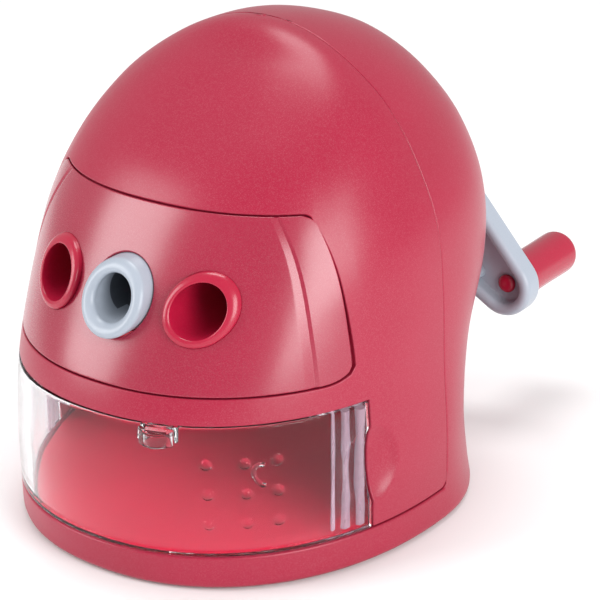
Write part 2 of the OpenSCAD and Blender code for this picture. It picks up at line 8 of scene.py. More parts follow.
# %% Load the frame
import math
import bmesh
import bpy
import numpy as np
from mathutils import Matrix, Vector


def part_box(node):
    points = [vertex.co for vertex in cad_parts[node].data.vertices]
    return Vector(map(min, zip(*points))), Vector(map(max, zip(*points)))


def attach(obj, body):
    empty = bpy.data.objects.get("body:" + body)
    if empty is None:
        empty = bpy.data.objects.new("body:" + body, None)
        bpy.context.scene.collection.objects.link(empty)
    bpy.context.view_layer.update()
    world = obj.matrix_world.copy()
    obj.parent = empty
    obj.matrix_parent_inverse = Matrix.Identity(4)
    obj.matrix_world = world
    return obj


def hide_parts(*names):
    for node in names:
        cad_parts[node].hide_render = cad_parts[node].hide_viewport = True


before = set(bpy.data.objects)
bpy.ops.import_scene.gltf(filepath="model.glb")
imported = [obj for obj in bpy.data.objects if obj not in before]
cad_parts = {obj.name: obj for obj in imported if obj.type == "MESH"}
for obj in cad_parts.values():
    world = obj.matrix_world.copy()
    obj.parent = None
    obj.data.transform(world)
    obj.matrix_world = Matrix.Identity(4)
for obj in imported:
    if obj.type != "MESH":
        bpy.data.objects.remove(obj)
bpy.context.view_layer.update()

MM = 0.001

# %% [markdown]
# ## The form of the body
# The body is a moulded dome. Each level section is made of two half superellipses: a front one
# and a rear one, with the same half width. The half width and the two reaches change with the
# height along smooth curves through ten heights. One function gives the point for an angle and a
# height, at any depth under the skin, so every piece that is flush with the body uses it.

# %% Sizes of the body
def box_mm(node):
    """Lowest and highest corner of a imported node, in millimetres."""
    low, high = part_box(node)
    return np.array(low)/MM, np.array(high)/MM

TOP = float(box_mm("rear_shell")[1][2])
HEIGHTS = TOP*np.array([0, 0.07, 0.2, 0.35, 0.5, 0.64, 0.76, 0.86, 0.94, 1])
HALF_WIDTH = np.array([40.9, 40.5, 40.2, 39.2, 38.6, 37.1, 32.6, 26.6, 17.6, 0])
FRONT_REACH = np.array([50.8, 51.4, 51.6, 50.6, 45.0, 38.2, 31.1, 20.5, 10.6, 0])
REAR_REACH = np.array([34.7, 34.5, 32.9, 35.4, 42.0, 40.2, 37.3, 31.6, 23.3, 0])
REAR_POWER = np.array([2.03, 1.91, 1.83, 1.98, 2.21, 2.40, 2.41, 2.30, 2.27, 2.27])
# The gap between the two shells, the thickness of their walls, and the top of the base band.
SEAM = 0.4
WALL = 2.2
BAND_TOP = 6.7
print("the dome is", round(TOP, 2), "mm high")

# %% The skin of the body
def smooth_curve(z, values):
    """Cubic Hermite curve through the values at HEIGHTS; each slope is that of the line between
    the two neighbours, one-sided at the ends."""
    rise, run = np.diff(values), np.diff(HEIGHTS)
    slope = np.empty(len(values))
    slope[0], slope[-1] = rise[0]/run[0], rise[-1]/run[-1]
    slope[1:-1] = (values[2:] - values[:-2])/(HEIGHTS[2:] - HEIGHTS[:-2])
    k = np.clip(np.searchsorted(HEIGHTS, z, side="right") - 1, 0, len(run) - 1)
    h = run[k]
    u = (z - HEIGHTS[k])/h
    return ((2*u**3 - 3*u**2 + 1)*values[k] + (u**3 - 2*u**2 + u)*h*slope[k]
            + (3*u**2 - 2*u**3)*values[k + 1] + (u**3 - u**2)*h*slope[k + 1])


def reach(z, values):
    """Reach of a level: the curve runs through the squares, so that the crown comes out round."""
    return np.sqrt(np.maximum(smooth_curve(z, values**2), 1e-6))


def front_power(z):
    """Exponent of the front half: nearly an ellipse low down, a little fuller higher up."""
    return 2.16 + 0.21*(z/TOP)**2


def lean(z, values):
    """Relative slope of a reach with the height, from two levels close together."""
    low, high = np.maximum(z - 0.02, 0), np.minimum(z + 0.02, TOP)
    rise = smooth_curve(high, values**2) - smooth_curve(low, values**2)
    return rise/(high - low)/(2*reach(z, values)**2)


def skin(t, z, depth=0.0, seam=0.0):
    """Point of the body at angle t (radians, 0 at +X, -pi/2 at the front) and height z.
    x = half width * cos^(2/q), y = reach * sin^(2/q), then depth inwards along the normal.
    The front half starts seam in front of the plane between the shells."""
    t, z, depth = np.broadcast_arrays(np.asarray(t, float), np.asarray(z, float), depth)
    cos, sin = np.cos(t), np.sin(t)
    front = sin < 0
    q = np.where(front, front_power(z), smooth_curve(z, REAR_POWER))
    a, b = np.abs(cos)**(2/q), np.abs(sin)**(2/q)
    half = reach(z, HALF_WIDTH)
    long = np.where(front, reach(z, FRONT_REACH), reach(z, REAR_REACH))
    along = np.where(front, np.maximum(long - seam, 0), long)
    slope = np.where(front, lean(z, FRONT_REACH), lean(z, REAR_REACH))
    upright = np.clip((z - 8)/6, 0, 1)
    nx = np.sign(cos)*a**(q - 1)/half
    ny = np.sign(sin)*b**(q - 1)/long
    nz = -(a**q*lean(z, HALF_WIDTH) + b**q*slope)*upright
    size = np.sqrt(nx**2 + ny**2 + nz**2)
    return np.stack([np.sign(cos)*half*a - depth*nx/size,
                     np.sign(sin)*along*b - np.where(front, seam, 0) - depth*ny/size,
                     z - depth*nz/size], axis=-1)


def angle_at(z, y_front):
    """Angle, measured from the side, at which the front half is y_front before the seam plane."""
    share = np.clip(y_front/reach(z, FRONT_REACH), 0, 1)
    return np.arcsin(share**(front_power(z)/2))


def width_at(z, y_front):
    """Half width of the front half in the plane y_front before the seam plane."""
    q = front_power(z)
    share = np.clip((y_front - SEAM)/(reach(z, FRONT_REACH) - SEAM), 0, 1)
    return reach(z, HALF_WIDTH)*(1 - share**q)**(1/q)


def on_front(x, z, depth=0.0):
    """Point of the front half at x and z, pushed depth inwards."""
    share = np.clip(np.abs(x)/reach(z, HALF_WIDTH), 0, 1)
    return skin(-np.arccos(np.sign(x)*share**(front_power(z)/2)), z, depth, SEAM)

print("half width at mid height:", round(float(reach(TOP/2, HALF_WIDTH)), 1), "mm")

# %% [markdown]
# ## From grids to meshes
# Two kinds of mesh make nearly the whole object, and the tray adds bevelled boxes. A wall is a
# grid of cells, some of them filled: a face is made wherever a filled cell meets an empty one, so
# openings, ledges and rims come out closed. A turned surface is a profile carried round an axis
# or a closed path.

# %% Mesh helpers
def new_piece(name, points, faces):
    """Object with these points (millimetres) and four-sided faces; corners that fall on one
    point are merged, and points that no face uses are left out."""
    used, where = np.unique(faces, return_inverse=True)
    mesh = bpy.data.meshes.new(name)
    mesh.from_pydata((points[used]*MM).tolist(), [], where.reshape(faces.shape).tolist())
    work = bmesh.new()
    work.from_mesh(mesh)
    bmesh.ops.remove_doubles(work, verts=work.verts, dist=1e-6)
    bmesh.ops.dissolve_degenerate(work, edges=work.edges, dist=1e-7)
    bmesh.ops.recalc_face_normals(work, faces=work.faces)
    work.to_mesh(mesh)
    work.free()
    mesh.validate()
    mesh.shade_smooth()
    piece = bpy.data.objects.new(name, mesh)
    bpy.context.scene.collection.objects.link(piece)
    return piece


def wall_piece(name, grid, solid, wrap=False):
    """Wall on a grid of points grid[k, j, i]: k counts depths inwards, j rows upwards and i
    columns towards growing angle. solid[k, j, i] says which cells are filled."""
    depths, rows, columns = grid.shape[:3]
    index = np.arange(depths*rows*columns).reshape(depths, rows, columns)
    if wrap:
        index = np.concatenate([index, index[:, :, :1]], axis=2)
    nk, nj, ni = solid.shape
    c = {(k, j, i): index[k:k + nk, j:j + nj, i:i + ni]
         for k in (0, 1) for j in (0, 1) for i in (0, 1)}
    corners = {
        (0, -1): [(0, 0, 0), (0, 0, 1), (0, 1, 1), (0, 1, 0)],
        (0, 1): [(1, 0, 0), (1, 1, 0), (1, 1, 1), (1, 0, 1)],
        (1, -1): [(0, 0, 1), (0, 0, 0), (1, 0, 0), (1, 0, 1)],
        (1, 1): [(0, 1, 0), (0, 1, 1), (1, 1, 1), (1, 1, 0)],
        (2, -1): [(0, 0, 0), (0, 1, 0), (1, 1, 0), (1, 0, 0)],
        (2, 1): [(0, 1, 1), (0, 0, 1), (1, 0, 1), (1, 1, 1)]}
    faces = []
    for (axis, side), quad in corners.items():
        beside = np.roll(solid, -side, axis=axis)
        if not (wrap and axis == 2):
            edge = [slice(None)]*3
            edge[axis] = -1 if side > 0 else 0
            beside[tuple(edge)] = False
        open_face = solid & ~beside
        faces.append(np.stack([c[q][open_face] for q in quad], axis=-1))
    return new_piece(name, grid.reshape(-1, 3), np.concatenate(faces))


def lofted_piece(name, rings, closed=False):
    """Skin over a stack of closed rings[k, i]: each ring is joined to the next, and with closed
    the last one to the first. A ring that has shrunk to one point is a pole."""
    count, around = rings.shape[:2]
    index = np.arange(count*around).reshape(count, around)
    ahead = np.roll(index, -1, axis=1)
    above = np.roll(index, -1, axis=0)
    above_ahead = np.roll(ahead, -1, axis=0)
    faces = np.stack([index, ahead, above_ahead, above], axis=-1)
    if not closed:
        faces = faces[:-1]
    return new_piece(name, rings.reshape(-1, 3), faces.reshape(-1, 4))


def round_edges(piece, width, segments=3, angle=50):
    """Bevel modifier: rounds every edge that is sharper than the angle."""
    bevel = piece.modifiers.new("rounded edges", "BEVEL")
    bevel.width = width*MM
    bevel.segments = segments
    bevel.limit_method = "ANGLE"
    bevel.angle_limit = math.radians(angle)
    bevel.use_clamp_overlap = False
    bevel.harden_normals = True
    return piece


def apply_modifiers(piece):
    """Puts the result of the modifiers into the mesh."""
    seen = piece.evaluated_get(bpy.context.evaluated_depsgraph_get())
    mesh = bpy.data.meshes.new_from_object(seen)
    piece.modifiers.clear()
    piece.data = mesh
    return piece


def combine(piece, tools, operation):
    """Boolean union or difference with the tools, which are used up."""
    group = bpy.data.collections.new("tools")
    bpy.context.scene.collection.children.link(group)
    for tool in tools:
        bpy.context.scene.collection.objects.unlink(tool)
        group.objects.link(tool)
    step = piece.modifiers.new("combine", "BOOLEAN")
    step.operation = operation
    step.operand_type = "COLLECTION"
    step.collection = group
    step.solver = "EXACT"
    apply_modifiers(piece)
    for tool in tools:
        bpy.data.objects.remove(tool)
    bpy.data.collections.remove(group)
    work = bmesh.new()
    work.from_mesh(piece.data)
    bmesh.ops.remove_doubles(work, verts=work.verts, dist=2e-6)
    bmesh.ops.dissolve_degenerate(work, edges=work.edges, dist=1e-6)
    work.to_mesh(piece.data)
    work.free()
    return piece


def smooth_by_angle(piece, angle=35):
    """Smooth shading that breaks at edges sharper than the angle."""
    piece.data.shade_smooth()
    piece.data.set_sharp_from_angle(angle=math.radians(angle))
    return piece


def even_shading(piece):
    """Normals weighted by face area: flat faces stay flat and the bend is left to the bevels."""
    shading = piece.modifiers.new("even shading", "WEIGHTED_NORMAL")
    shading.mode = "FACE_AREA"
    shading.keep_sharp = True
    return piece


def turned(radii, heights, around=64):
    """Rings of a profile turned round the Z axis: radius and height of each ring."""
    turn = np.linspace(0, 2*np.pi, around, endpoint=False)
    radii, heights = np.asarray(radii, float), np.asarray(heights, float)
    return np.stack([radii[:, None]*np.cos(turn), radii[:, None]*np.sin(turn),
                     np.repeat(heights[:, None], around, axis=1)], axis=-1)


def along_y(rings, x=0.0, y=0.0, z=0.0):
    """Lays a turned shape down: its Z axis becomes +Y through (x, y, z)."""
    laid = np.stack([rings[..., 0], rings[..., 2], -rings[..., 1]], axis=-1)
    return laid + np.array([x, y, z])


def spread(*parts):
    """Joins evenly spaced stretches (start, stop, cells) into one list of stations."""
    stretches = [np.linspace(a, b, n + 1)[:-1] for a, b, n in parts]
    return np.concatenate(stretches + [[parts[-1][1]]])

print("helpers ready")

# %% [markdown]
# ## The rear shell
# One moulding makes the back of the dome and the band under the drawer, so its front edge runs
# over the crown, down each side, round a small corner and forward over the band. It is a wall
# of 2.2 mm on the skin. The corner is a quarter circle: close to it the band's top edge climbs,
# so the grid bends there and no separate piece is needed. A bevel rounds every edge, and three
# holes are drilled at the end: one for the axle's bush and two for screws in flat seats.

# %% Rear shell
CORNER = 1.3
BASE_LOW = 0.5


def quarter_rise(run, radius):
    """Height of a quarter circle that starts upright at run 0 and is level at run = radius."""
    short = np.clip(1 - run/radius, 0, 1)
    return radius*(1 - np.sqrt(1 - short**2))


near = CORNER*(1 - np.cos(np.linspace(0, np.pi/2, 7)))
corner_angle = angle_at(BAND_TOP, near)
REAR_CELLS = 96
rear_turn = np.linspace(0, np.pi, REAR_CELLS + 1)
front_turn = np.linspace(np.pi + corner_angle[-1], 2*np.pi - corner_angle[-1], 75)
turn = np.concatenate([rear_turn, np.pi + corner_angle[1:], front_turn[1:-1],
                       2*np.pi - corner_angle[:0:-1]])
run = np.maximum(-skin(turn, BAND_TOP)[:, 1], 0)
corner_rise = quarter_rise(run, CORNER)
band_share = spread((0, 0.2, 3), (0.2, 1, 9))
dome_share = spread((0, 0.72, 44), (0.72, 1, 30))
band_rows = len(band_share) - 1
low_z = BASE_LOW + band_share[:, None]*(BAND_TOP + corner_rise - BASE_LOW)
start_z = BAND_TOP + CORNER
high_z = start_z + (TOP - start_z)*np.sin(dome_share[1:, None]*np.pi/2) + 0*turn
rows_z = np.concatenate([low_z, high_z])
foot = 0.6*(1 - np.sqrt(1 - np.clip(1 - (rows_z - BASE_LOW)/1.2, 0, 1)**2))
outside = skin(turn, rows_z, foot)
inside = skin(turn, rows_z, WALL)
outside[-1] = (0, 0, TOP)
inside[-1] = (0, 0, TOP - WALL)
cells = np.ones((1, len(rows_z) - 1, len(turn)), bool)
cells[0, band_rows:, REAR_CELLS:] = False
rear_shell = wall_piece("rear_shell_moulding", np.stack([outside, inside]), cells, wrap=True)
round_edges(rear_shell, 0.35)
apply_modifiers(rear_shell)

# %% Holes in the rear shell
bush_low, bush_high = box_mm("rear_bush")
AXIS_Z = float(bush_low[2] + bush_high[2])/2
SCREW_X, SCREW_Z, SEAT_Y = 17.0, 22.0, 28.4
BUSH_HOLE_R, SCREW_HOLE_R, SEAT_R = 5.05, 1.7, 3.1
drills = [lofted_piece("drill", along_y(
    turned([0, BUSH_HOLE_R, BUSH_HOLE_R, 0], [0, 0, 20, 20], 96), 0, 30, AXIS_Z))]
for side in (-1, 1):
    drills.append(lofted_piece("drill", along_y(
        turned([0, SCREW_HOLE_R, SCREW_HOLE_R, 0], [0, 0, 20, 20], 48), side*SCREW_X, 22, SCREW_Z)))
    drills.append(lofted_piece("drill", along_y(
        turned([0, SEAT_R, SEAT_R, 0], [0, 0, 10, 10], 64), side*SCREW_X, SEAT_Y, SCREW_Z)))
combine(rear_shell, drills, "DIFFERENCE")
smooth_by_angle(rear_shell, 40)
even_shading(rear_shell)
print("rear shell:", len(rear_shell.data.polygons), "faces")

# %% [markdown]
# ## The front shell
# The front shell has two cheeks beside the drawer, a bridge over it, an opening with round
# corners for the face panel, and its half of the crown. It is the same kind of wall with two
# depths, so that a ledge can stay behind the edge of the panel. The thumb scoops are shallow
# dishes: the skin is pushed in by a power of a paraboloid, for a crisp rim. The columns follow the
# ends of the drawer and the sides of the panel, so both edges are clean lines.

# %% Front shell
drawer_low, drawer_high = box_mm("drawer")
DRAWER_TOP = float(drawer_high[2])
WINDOW_TOP = DRAWER_TOP + 0.25
DRAWER_END = 20.3
PANEL_LOW, PANEL_HIGH, PANEL_EDGE = 35.9, 64.3, 23.3
PANEL_T = 0.9
LEDGE = 2.4
PANEL_CORNER, TOP_CORNER = 2.4, 1.5
SCOOP_Z, SCOOP_Y = 19.2, 20.9
SCOOP_DEEP, SCOOP_LONG, SCOOP_HIGH = 1.7, 6.2, 7.0


def scoop(y, z):
    """Depth of the thumb scoop: an oval dish, deepest in the middle, with a crisp rim. The rim
    is steep because the depth goes as the power 0.7 of a paraboloid."""
    dish = 1 - ((y + SCOOP_Y)/SCOOP_LONG)**2 - ((z - SCOOP_Z)/SCOOP_HIGH)**2
    return SCOOP_DEEP*np.maximum(0, dish)**0.7


# Stations inwards from the side edge of the panel, close together at the round corner.
corner_run = PANEL_CORNER*np.array([0, 0.12, 0.26, 0.42, 0.6, 0.8, 1.0])
cheek_share = np.concatenate([[0, 0.02, 0.045], np.linspace(0.07, 1, 40)])
seam_run = cheek_share*DRAWER_END
middle_share = np.linspace(0, 1, 34)[1:]


def half_columns(z):
    """Angles from the seam at the side to the middle of the front, one list for each height."""
    z = np.asarray(z, float)[:, None]
    cheek = angle_at(z, seam_run)
    side_x = width_at(z, PANEL_EDGE)
    x_run = side_x - corner_run
    power = front_power(z)/2
    corner = np.pi/2 - np.arcsin(np.clip(x_run/reach(z, HALF_WIDTH), 0, 1)**power)
    last = corner[:, -1:]
    middle = last + (np.pi/2 - last)*middle_share
    return np.concatenate([cheek, corner, middle], axis=1)


low_rows = spread((BAND_TOP + SEAM, BAND_TOP + SEAM + 0.8, 2), (BAND_TOP + SEAM + 0.8, WINDOW_TOP, 40))
bridge_rows = spread((WINDOW_TOP, PANEL_LOW, 6))[1:]
ledge_rows = PANEL_LOW + np.array([0.6, 1.2, LEDGE])
open_rows = spread((PANEL_LOW + LEDGE, PANEL_HIGH - LEDGE, 30))[1:]
upper_rows = PANEL_HIGH - np.array([1.2, 0.6, 0])
crown_share = spread((0, 0.15, 4), (0.15, 1, 34))[1:]
crown_rows = PANEL_HIGH + (TOP - PANEL_HIGH)*np.sin(crown_share*np.pi/2)
front_rows = np.concatenate([low_rows, bridge_rows, ledge_rows, open_rows, upper_rows, crown_rows])
window_row = len(low_rows) - 1
open_row = window_row + len(bridge_rows)
close_row = open_row + len(ledge_rows) + len(open_rows) + len(upper_rows)

half = half_columns(np.minimum(front_rows, PANEL_HIGH))
turn = np.concatenate([-np.pi + half, -half[:, -2::-1]], axis=1)
z = front_rows[:, None] + 0*turn


def both_halves(values):
    """The same values from the left side to the middle and back to the right side."""
    return np.concatenate([values, values[-2::-1]])


FAR = 99.0
corner_cells, middle_cells = len(corner_run), len(middle_share)
side_run = np.concatenate([seam_run, np.full(corner_cells + middle_cells, FAR)])
panel_run = np.concatenate([np.full(len(seam_run), FAR), corner_run, np.full(middle_cells, FAR)])
# The lower rear corners are rounded like the rear shell's.
low_share = np.clip((WINDOW_TOP - z)/(WINDOW_TOP - front_rows[0]), 0, 1)
z = z + low_share*both_halves(quarter_rise(side_run, CORNER - 0.1))
# Each corner of the opening is a quarter circle: the rows beside it bend away towards the middle.
PANEL_MID, PANEL_HALF = (PANEL_LOW + PANEL_HIGH)/2, (PANEL_HIGH - PANEL_LOW)/2
away = np.abs(z - PANEL_MID)
bend = np.where(away > PANEL_HALF, np.clip(1 - (away - PANEL_HALF)/4, 0, 1), away/PANEL_HALF)
corner_r = np.where(z > PANEL_MID, TOP_CORNER, PANEL_CORNER)
z = z - np.sign(z - PANEL_MID)*bend*quarter_rise(both_halves(panel_run), corner_r)
skin_y = skin(turn, z, 0, SEAM)[..., 1]
dish = scoop(skin_y, z)
layers = [skin(turn, z, dish, SEAM), skin(turn, z, np.maximum(PANEL_T + 0.15, dish + 0.3), SEAM),
          skin(turn, z, np.maximum(WALL, dish + 0.7), SEAM)]
for layer, depth in zip(layers, (0, PANEL_T + 0.15, WALL)):
    layer[-1] = (0, -SEAM, TOP - depth)
cells = np.ones((2, len(front_rows) - 1, turn.shape[1] - 1), bool)
open_column = len(seam_run)
cells[:, :window_row, len(seam_run) - 1:-(len(seam_run) - 1)] = False
cells[0, open_row:close_row, open_column:-open_column] = False
ledge_column = open_column + corner_cells + 1
cells[1, open_row + 3:close_row - 3, ledge_column:-ledge_column] = False
front_shell = wall_piece("front_shell_moulding", np.stack(layers), cells)
round_edges(front_shell, 0.27)
print("front shell:", len(front_shell.data.polygons), "faces")

# %% [markdown]
# ## The face panel
# The panel is a separate, smoother moulding that fills the opening with a fine gap. Its grid
# runs over x and z, because the three holes are round when seen along the pencil. Round a hole,
# the square rings of the grid turn into circles: the inner ring is exactly round and the outer
# ring exactly square, and what is inside the inner ring is left out. Near each side a soft
# bevel sinks and ends in a crease, where the flank of the panel begins.

# %% Face panel
GAP = 0.24
guide_high = box_mm("guide_ring")[1]
cup_low, cup_high = box_mm("pencil_cup_right")
CUP_X = float(cup_low[0] + cup_high[0])/2
GUIDE_R, CUP_R = 6.55, 5.85
BLOCK, CUP_BLOCK = 8.0, 7.4
STEP_W, STEP_T, STEP_RISER = 1.0, 0.22, 0.38
STEP_INSET, STEP_LEAN, STEP_Z = 3.2, 0.05, 37.6
RIM_CELLS, HOLE_SHARE = 16, 0.75


def columns_between(knots, stations):
    """Columns between lines that bend with the height: station 2.5 lies half way from knot 2 to
    knot 3. knots[n] gives the place of line n on every grid point."""
    k = np.minimum(np.floor(stations).astype(int), len(knots) - 2)
    share = stations - k
    column = np.arange(len(stations))
    return knots[k, :, column].T*(1 - share) + knots[k + 1, :, column].T*share


panel_rows = spread((PANEL_LOW + GAP, AXIS_Z - BLOCK, 8),
                    (AXIS_Z - BLOCK, AXIS_Z + BLOCK, 2*RIM_CELLS),
                    (AXIS_Z + BLOCK, PANEL_HIGH - GAP, 8))
stations = np.concatenate([spread((0, 1, RIM_CELLS), (1, 2, 2*RIM_CELLS), (2, 3, 8)),
                           [3.08, 3.5, 3.92, 4.0, 4.12, 4.5, 4.88, 5.0, 5.02], spread((5.06, 6, 8)),
                           [6.2, 6.4, 6.58, 6.74, 6.88, 7.0]])
stations = np.insert(stations, np.searchsorted(stations, 3), 2.96)
corner_r = np.where(panel_rows > PANEL_MID, TOP_CORNER, PANEL_CORNER)[:, None]
bend = np.where(stations > 6, quarter_rise((7 - stations)*PANEL_CORNER, corner_r), 0)
z = panel_rows[:, None] - (panel_rows[:, None] - PANEL_MID)/(PANEL_HALF - GAP)*bend
side_x = width_at(z, PANEL_EDGE + GAP)
step_x = side_x - STEP_INSET - STEP_LEAN*(z - STEP_Z)
block_x = np.minimum(CUP_X + CUP_BLOCK, step_x - STEP_W - 2)
knots = np.stack([0*z, 0*z + BLOCK, block_x, step_x - STEP_W, step_x, step_x + STEP_RISER,
                  side_x - PANEL_CORNER, side_x])
x = columns_between(knots, stations)
sink = STEP_T*np.interp(stations, [3, 4, 5], [0, 1, 0])
x = np.concatenate([-x[:, :0:-1], x], axis=1)
z, sink = (np.concatenate([h[..., :0:-1], h], axis=-1) for h in (z, sink))


def round_hole(x, z, solid, middle_column, centre_x, half_x, radius):
    """Turns the square rings of grid lines round a hole into circles, and empties the inside."""
    row = np.arange(x.shape[0])[:, None] - len(panel_rows)//2
    column = np.arange(x.shape[1]) - middle_column
    a, b = column/RIM_CELLS + 0*row, row/RIM_CELLS + 0*column
    ring = np.maximum(np.abs(a), np.abs(b))
    share = np.clip((ring - HOLE_SHARE)/(1 - HOLE_SHARE), 0, 1)
    way = np.arctan2(b, a)
    inside = ring <= 1
    safe = np.maximum(ring, 1e-9)
    x = np.where(inside, centre_x + (1 - share)*radius*np.cos(way) + share*a/safe*half_x, x)
    z = np.where(inside, AXIS_Z + (1 - share)*radius*np.sin(way) + share*b/safe*BLOCK, z)
    hole = ring < HOLE_SHARE + 1e-6
    solid[0] &= ~(hole[:-1, :-1] & hole[1:, 1:] & hole[:-1, 1:] & hole[1:, :-1])
    return x, z, solid


cells = np.ones((1, x.shape[0] - 1, x.shape[1] - 1), bool)
middle = len(stations) - 1
x, z, cells = round_hole(x, z, cells, middle, 0.0, BLOCK, GUIDE_R)
for side in (-1, 1):
    x, z, cells = round_hole(x, z, cells, middle + side*2*RIM_CELLS, side*CUP_X, CUP_BLOCK, CUP_R)
face_panel = wall_piece("face_panel_moulding",
                        np.stack([on_front(x, z, sink), on_front(x, z, PANEL_T)]), cells)
round_edges(face_panel, 0.27)
print("face panel:", len(face_panel.data.polygons), "faces, step at x =", round(float(step_x[20, 0]), 1))

# %% [markdown]
# ## The pencil ports
# Each red cup is a blind tube with a rolled lip that stands proud of the panel; the grey guide
# in the middle has a fatter lip and a funnel. Their mouths are cut parallel to the sloping face.
# Each is one closed profile carried round the pencil's line. A turned shape alone could not
# follow the sloping face, so every ring of the lip is sheared: the slope fades out deeper inside.

# %% Cups and guide
FACE_SLOPE = 0.477


def port_piece(name, centre_x, mouth_y, profile, yaw_slope, around=96):
    """Profile of (radius, depth behind the mouth, share of the face's slope), carried round a
    line along Y. y = mouth + depth + share*(slope*(z - axis) + yaw_slope*(x - centre))."""
    radius, depth, share = np.array(profile).T[:, :, None]
    turn = np.linspace(0, 2*np.pi, around, endpoint=False)
    dx, dz = radius*np.cos(turn), radius*np.sin(turn)
    y = mouth_y + depth + share*(FACE_SLOPE*dz + yaw_slope*dx)
    return lofted_piece(name, np.stack([centre_x + dx, y, AXIS_Z + dz], axis=-1))


def arc(r0, d0, r, start, stop, cells, share=1.0):
    """Stations of a round part of a profile: centre (r0, d0), radius r, angles in degrees."""
    turn = np.radians(np.linspace(start, stop, cells + 1))
    return [(r0 + r*math.cos(w), d0 - r*math.sin(w), share) for w in turn]


CUP_MOUTH = -40.9
CUP_END = float(cup_high[1])
cup_in = CUP_END - CUP_MOUTH
cup_profile = (
    [(0, cup_in - 1.4, 0), (2.0, cup_in - 1.4, 0), (3.4, cup_in - 1.5, 0), (4.2, cup_in - 2.1, 0),
     (4.5, cup_in - 3.2, 0), (4.5, cup_in*0.6, 0), (4.5, 3.0, 0.8), (4.5, 1.0, 1)]
    + arc(4.85, 0.36, 0.36, 180, 75, 8) + arc(4.75, 1.25, 1.2, 72, 12, 8)
    + [(5.88, 2.0, 1), (5.84, 3.0, 1), (5.8, 4.6, 0.7), (5.8, 8.0, 0), (5.8, cup_in - 0.4, 0),
       (5.4, cup_in, 0), (0, cup_in, 0)])
cups = [port_piece("pencil_cup_red_" + word, side*CUP_X, CUP_MOUTH, cup_profile, side*0.404)
        for side, word in ((-1, "left"), (1, "right"))]
for cup in cups:
    smooth_by_angle(cup, 50)

GUIDE_MOUTH = -45.1
GUIDE_END = float(guide_high[1])
guide_in = GUIDE_END - GUIDE_MOUTH
guide_profile = (
    [(4.0, guide_in, 0), (4.0, 11.0, 0), (3.98, 7.0, 0.1), (3.9, 5.0, 0.5), (3.86, 3.6, 0.85),
     (3.92, 2.4, 1.0), (4.02, 1.9, 1.0)] + arc(5.12, 1.22, 1.2, 195, 90, 12)
    + arc(5.12, 1.22, 1.2, 82, 0, 12)
    + [(6.34, 2.4, 1), (6.34, 4.0, 0.8), (6.3, 5.6, 0.4), (5.4, 6.4, 0), (5.4, guide_in, 0),
       (4.0, guide_in, 0)])
guide = port_piece("pencil_guide_grey", 0.0, GUIDE_MOUTH, guide_profile, 0.0)
smooth_by_angle(guide, 50)
print("cup depth:", round(cup_in, 1), "mm; guide length:", round(guide_in, 1), "mm")

# %% [markdown]
# ## The clear drawer
# The real drawer is one clear moulding: a curved front flush with the body, a floor, straight
# walls for the tray, small grip dots and a catch at the top of the front. Here the front, with
# its dots, its catch and its gate mark, is one closed shape made by an exact union, because a
# ray bends at every skin that it crosses. The tray is a second shape, a hair behind the front,
# because a floor that bends the view too showed as a dark band along the bottom of the drawer.

# %% Drawer
# The front hangs a little lower than the solid it stands for.
DRAWER_LOW = float(drawer_low[2]) - 0.2
FRONT_T = 2.0
TRAY_HALF, TRAY_BACK, TRAY_FRONT, TRAY_TOP, TRAY_T = 34.2, 8.0, -27.2, 28.6, 1.8
FLOOR_LOW, FLOOR_T = DRAWER_LOW + 0.5, 1.6
END_DROP = 0.3
OUTLINE_Z, TRAY_GAP = 8.0, 0.05

end_share = np.concatenate([[0, 0.01, 0.025], np.linspace(0.04, 1, 58)])
rows = spread((DRAWER_LOW, DRAWER_TOP, 38))
edge = angle_at(rows, DRAWER_END + END_DROP)[:, None]
half = edge + (np.pi/2 - edge)*end_share
turn = np.concatenate([-np.pi + half, -half[:, -2::-1]], axis=1)
z = rows[:, None] + 0*turn
skin_y = skin(turn, z, 0, SEAM)[..., 1]
dish = scoop(skin_y, z)
front_skin = skin(turn, z, dish, SEAM)
front_back = skin(turn, z, np.maximum(FRONT_T, dish + 1.0), SEAM)
cells = np.ones((1, z.shape[0] - 1, z.shape[1] - 1), bool)
drawer = wall_piece("drawer_clear", np.stack([front_skin, front_back]), cells)
round_edges(drawer, 0.3)
apply_modifiers(drawer)


def block_piece(name, low, high, rounding=0.4):
    """Box between two corners with its edges rounded by a bevel."""
    low, high = np.array(low, float), np.array(high, float)
    corner = np.array([[x, y, z] for z in (0, 1) for y in (0, 1) for x in (0, 1)], float)
    faces = np.array([[0, 2, 3, 1], [4, 5, 7, 6], [0, 1, 5, 4], [2, 6, 7, 3], [0, 4, 6, 2],
                      [1, 3, 7, 5]])
    return apply_modifiers(round_edges(new_piece(name, low + corner*(high - low), faces), rounding))


def floor_piece(name, low, high, inset, back, half_width):
    """Plate under the front: its outline is the body's level, inset, and straight at the back."""
    turn = np.linspace(-np.pi, 0, 73)
    outline = skin(turn, OUTLINE_Z, inset, 0)[:, :2]
    outline[:, 0] = np.clip(outline[:, 0], -half_width, half_width)
    left, right = [[-half_width, back]], [[half_width, back]]
    outline = np.concatenate([left, outline, right])
    middle = np.array([[0, -10.0]])
    rings = [(middle + 0*outline, low), (outline, low), (outline, high), (middle + 0*outline, high)]
    stack = np.stack([np.concatenate([xy, np.full((len(xy), 1), z)], axis=1) for xy, z in rings])
    return lofted_piece(name, stack)


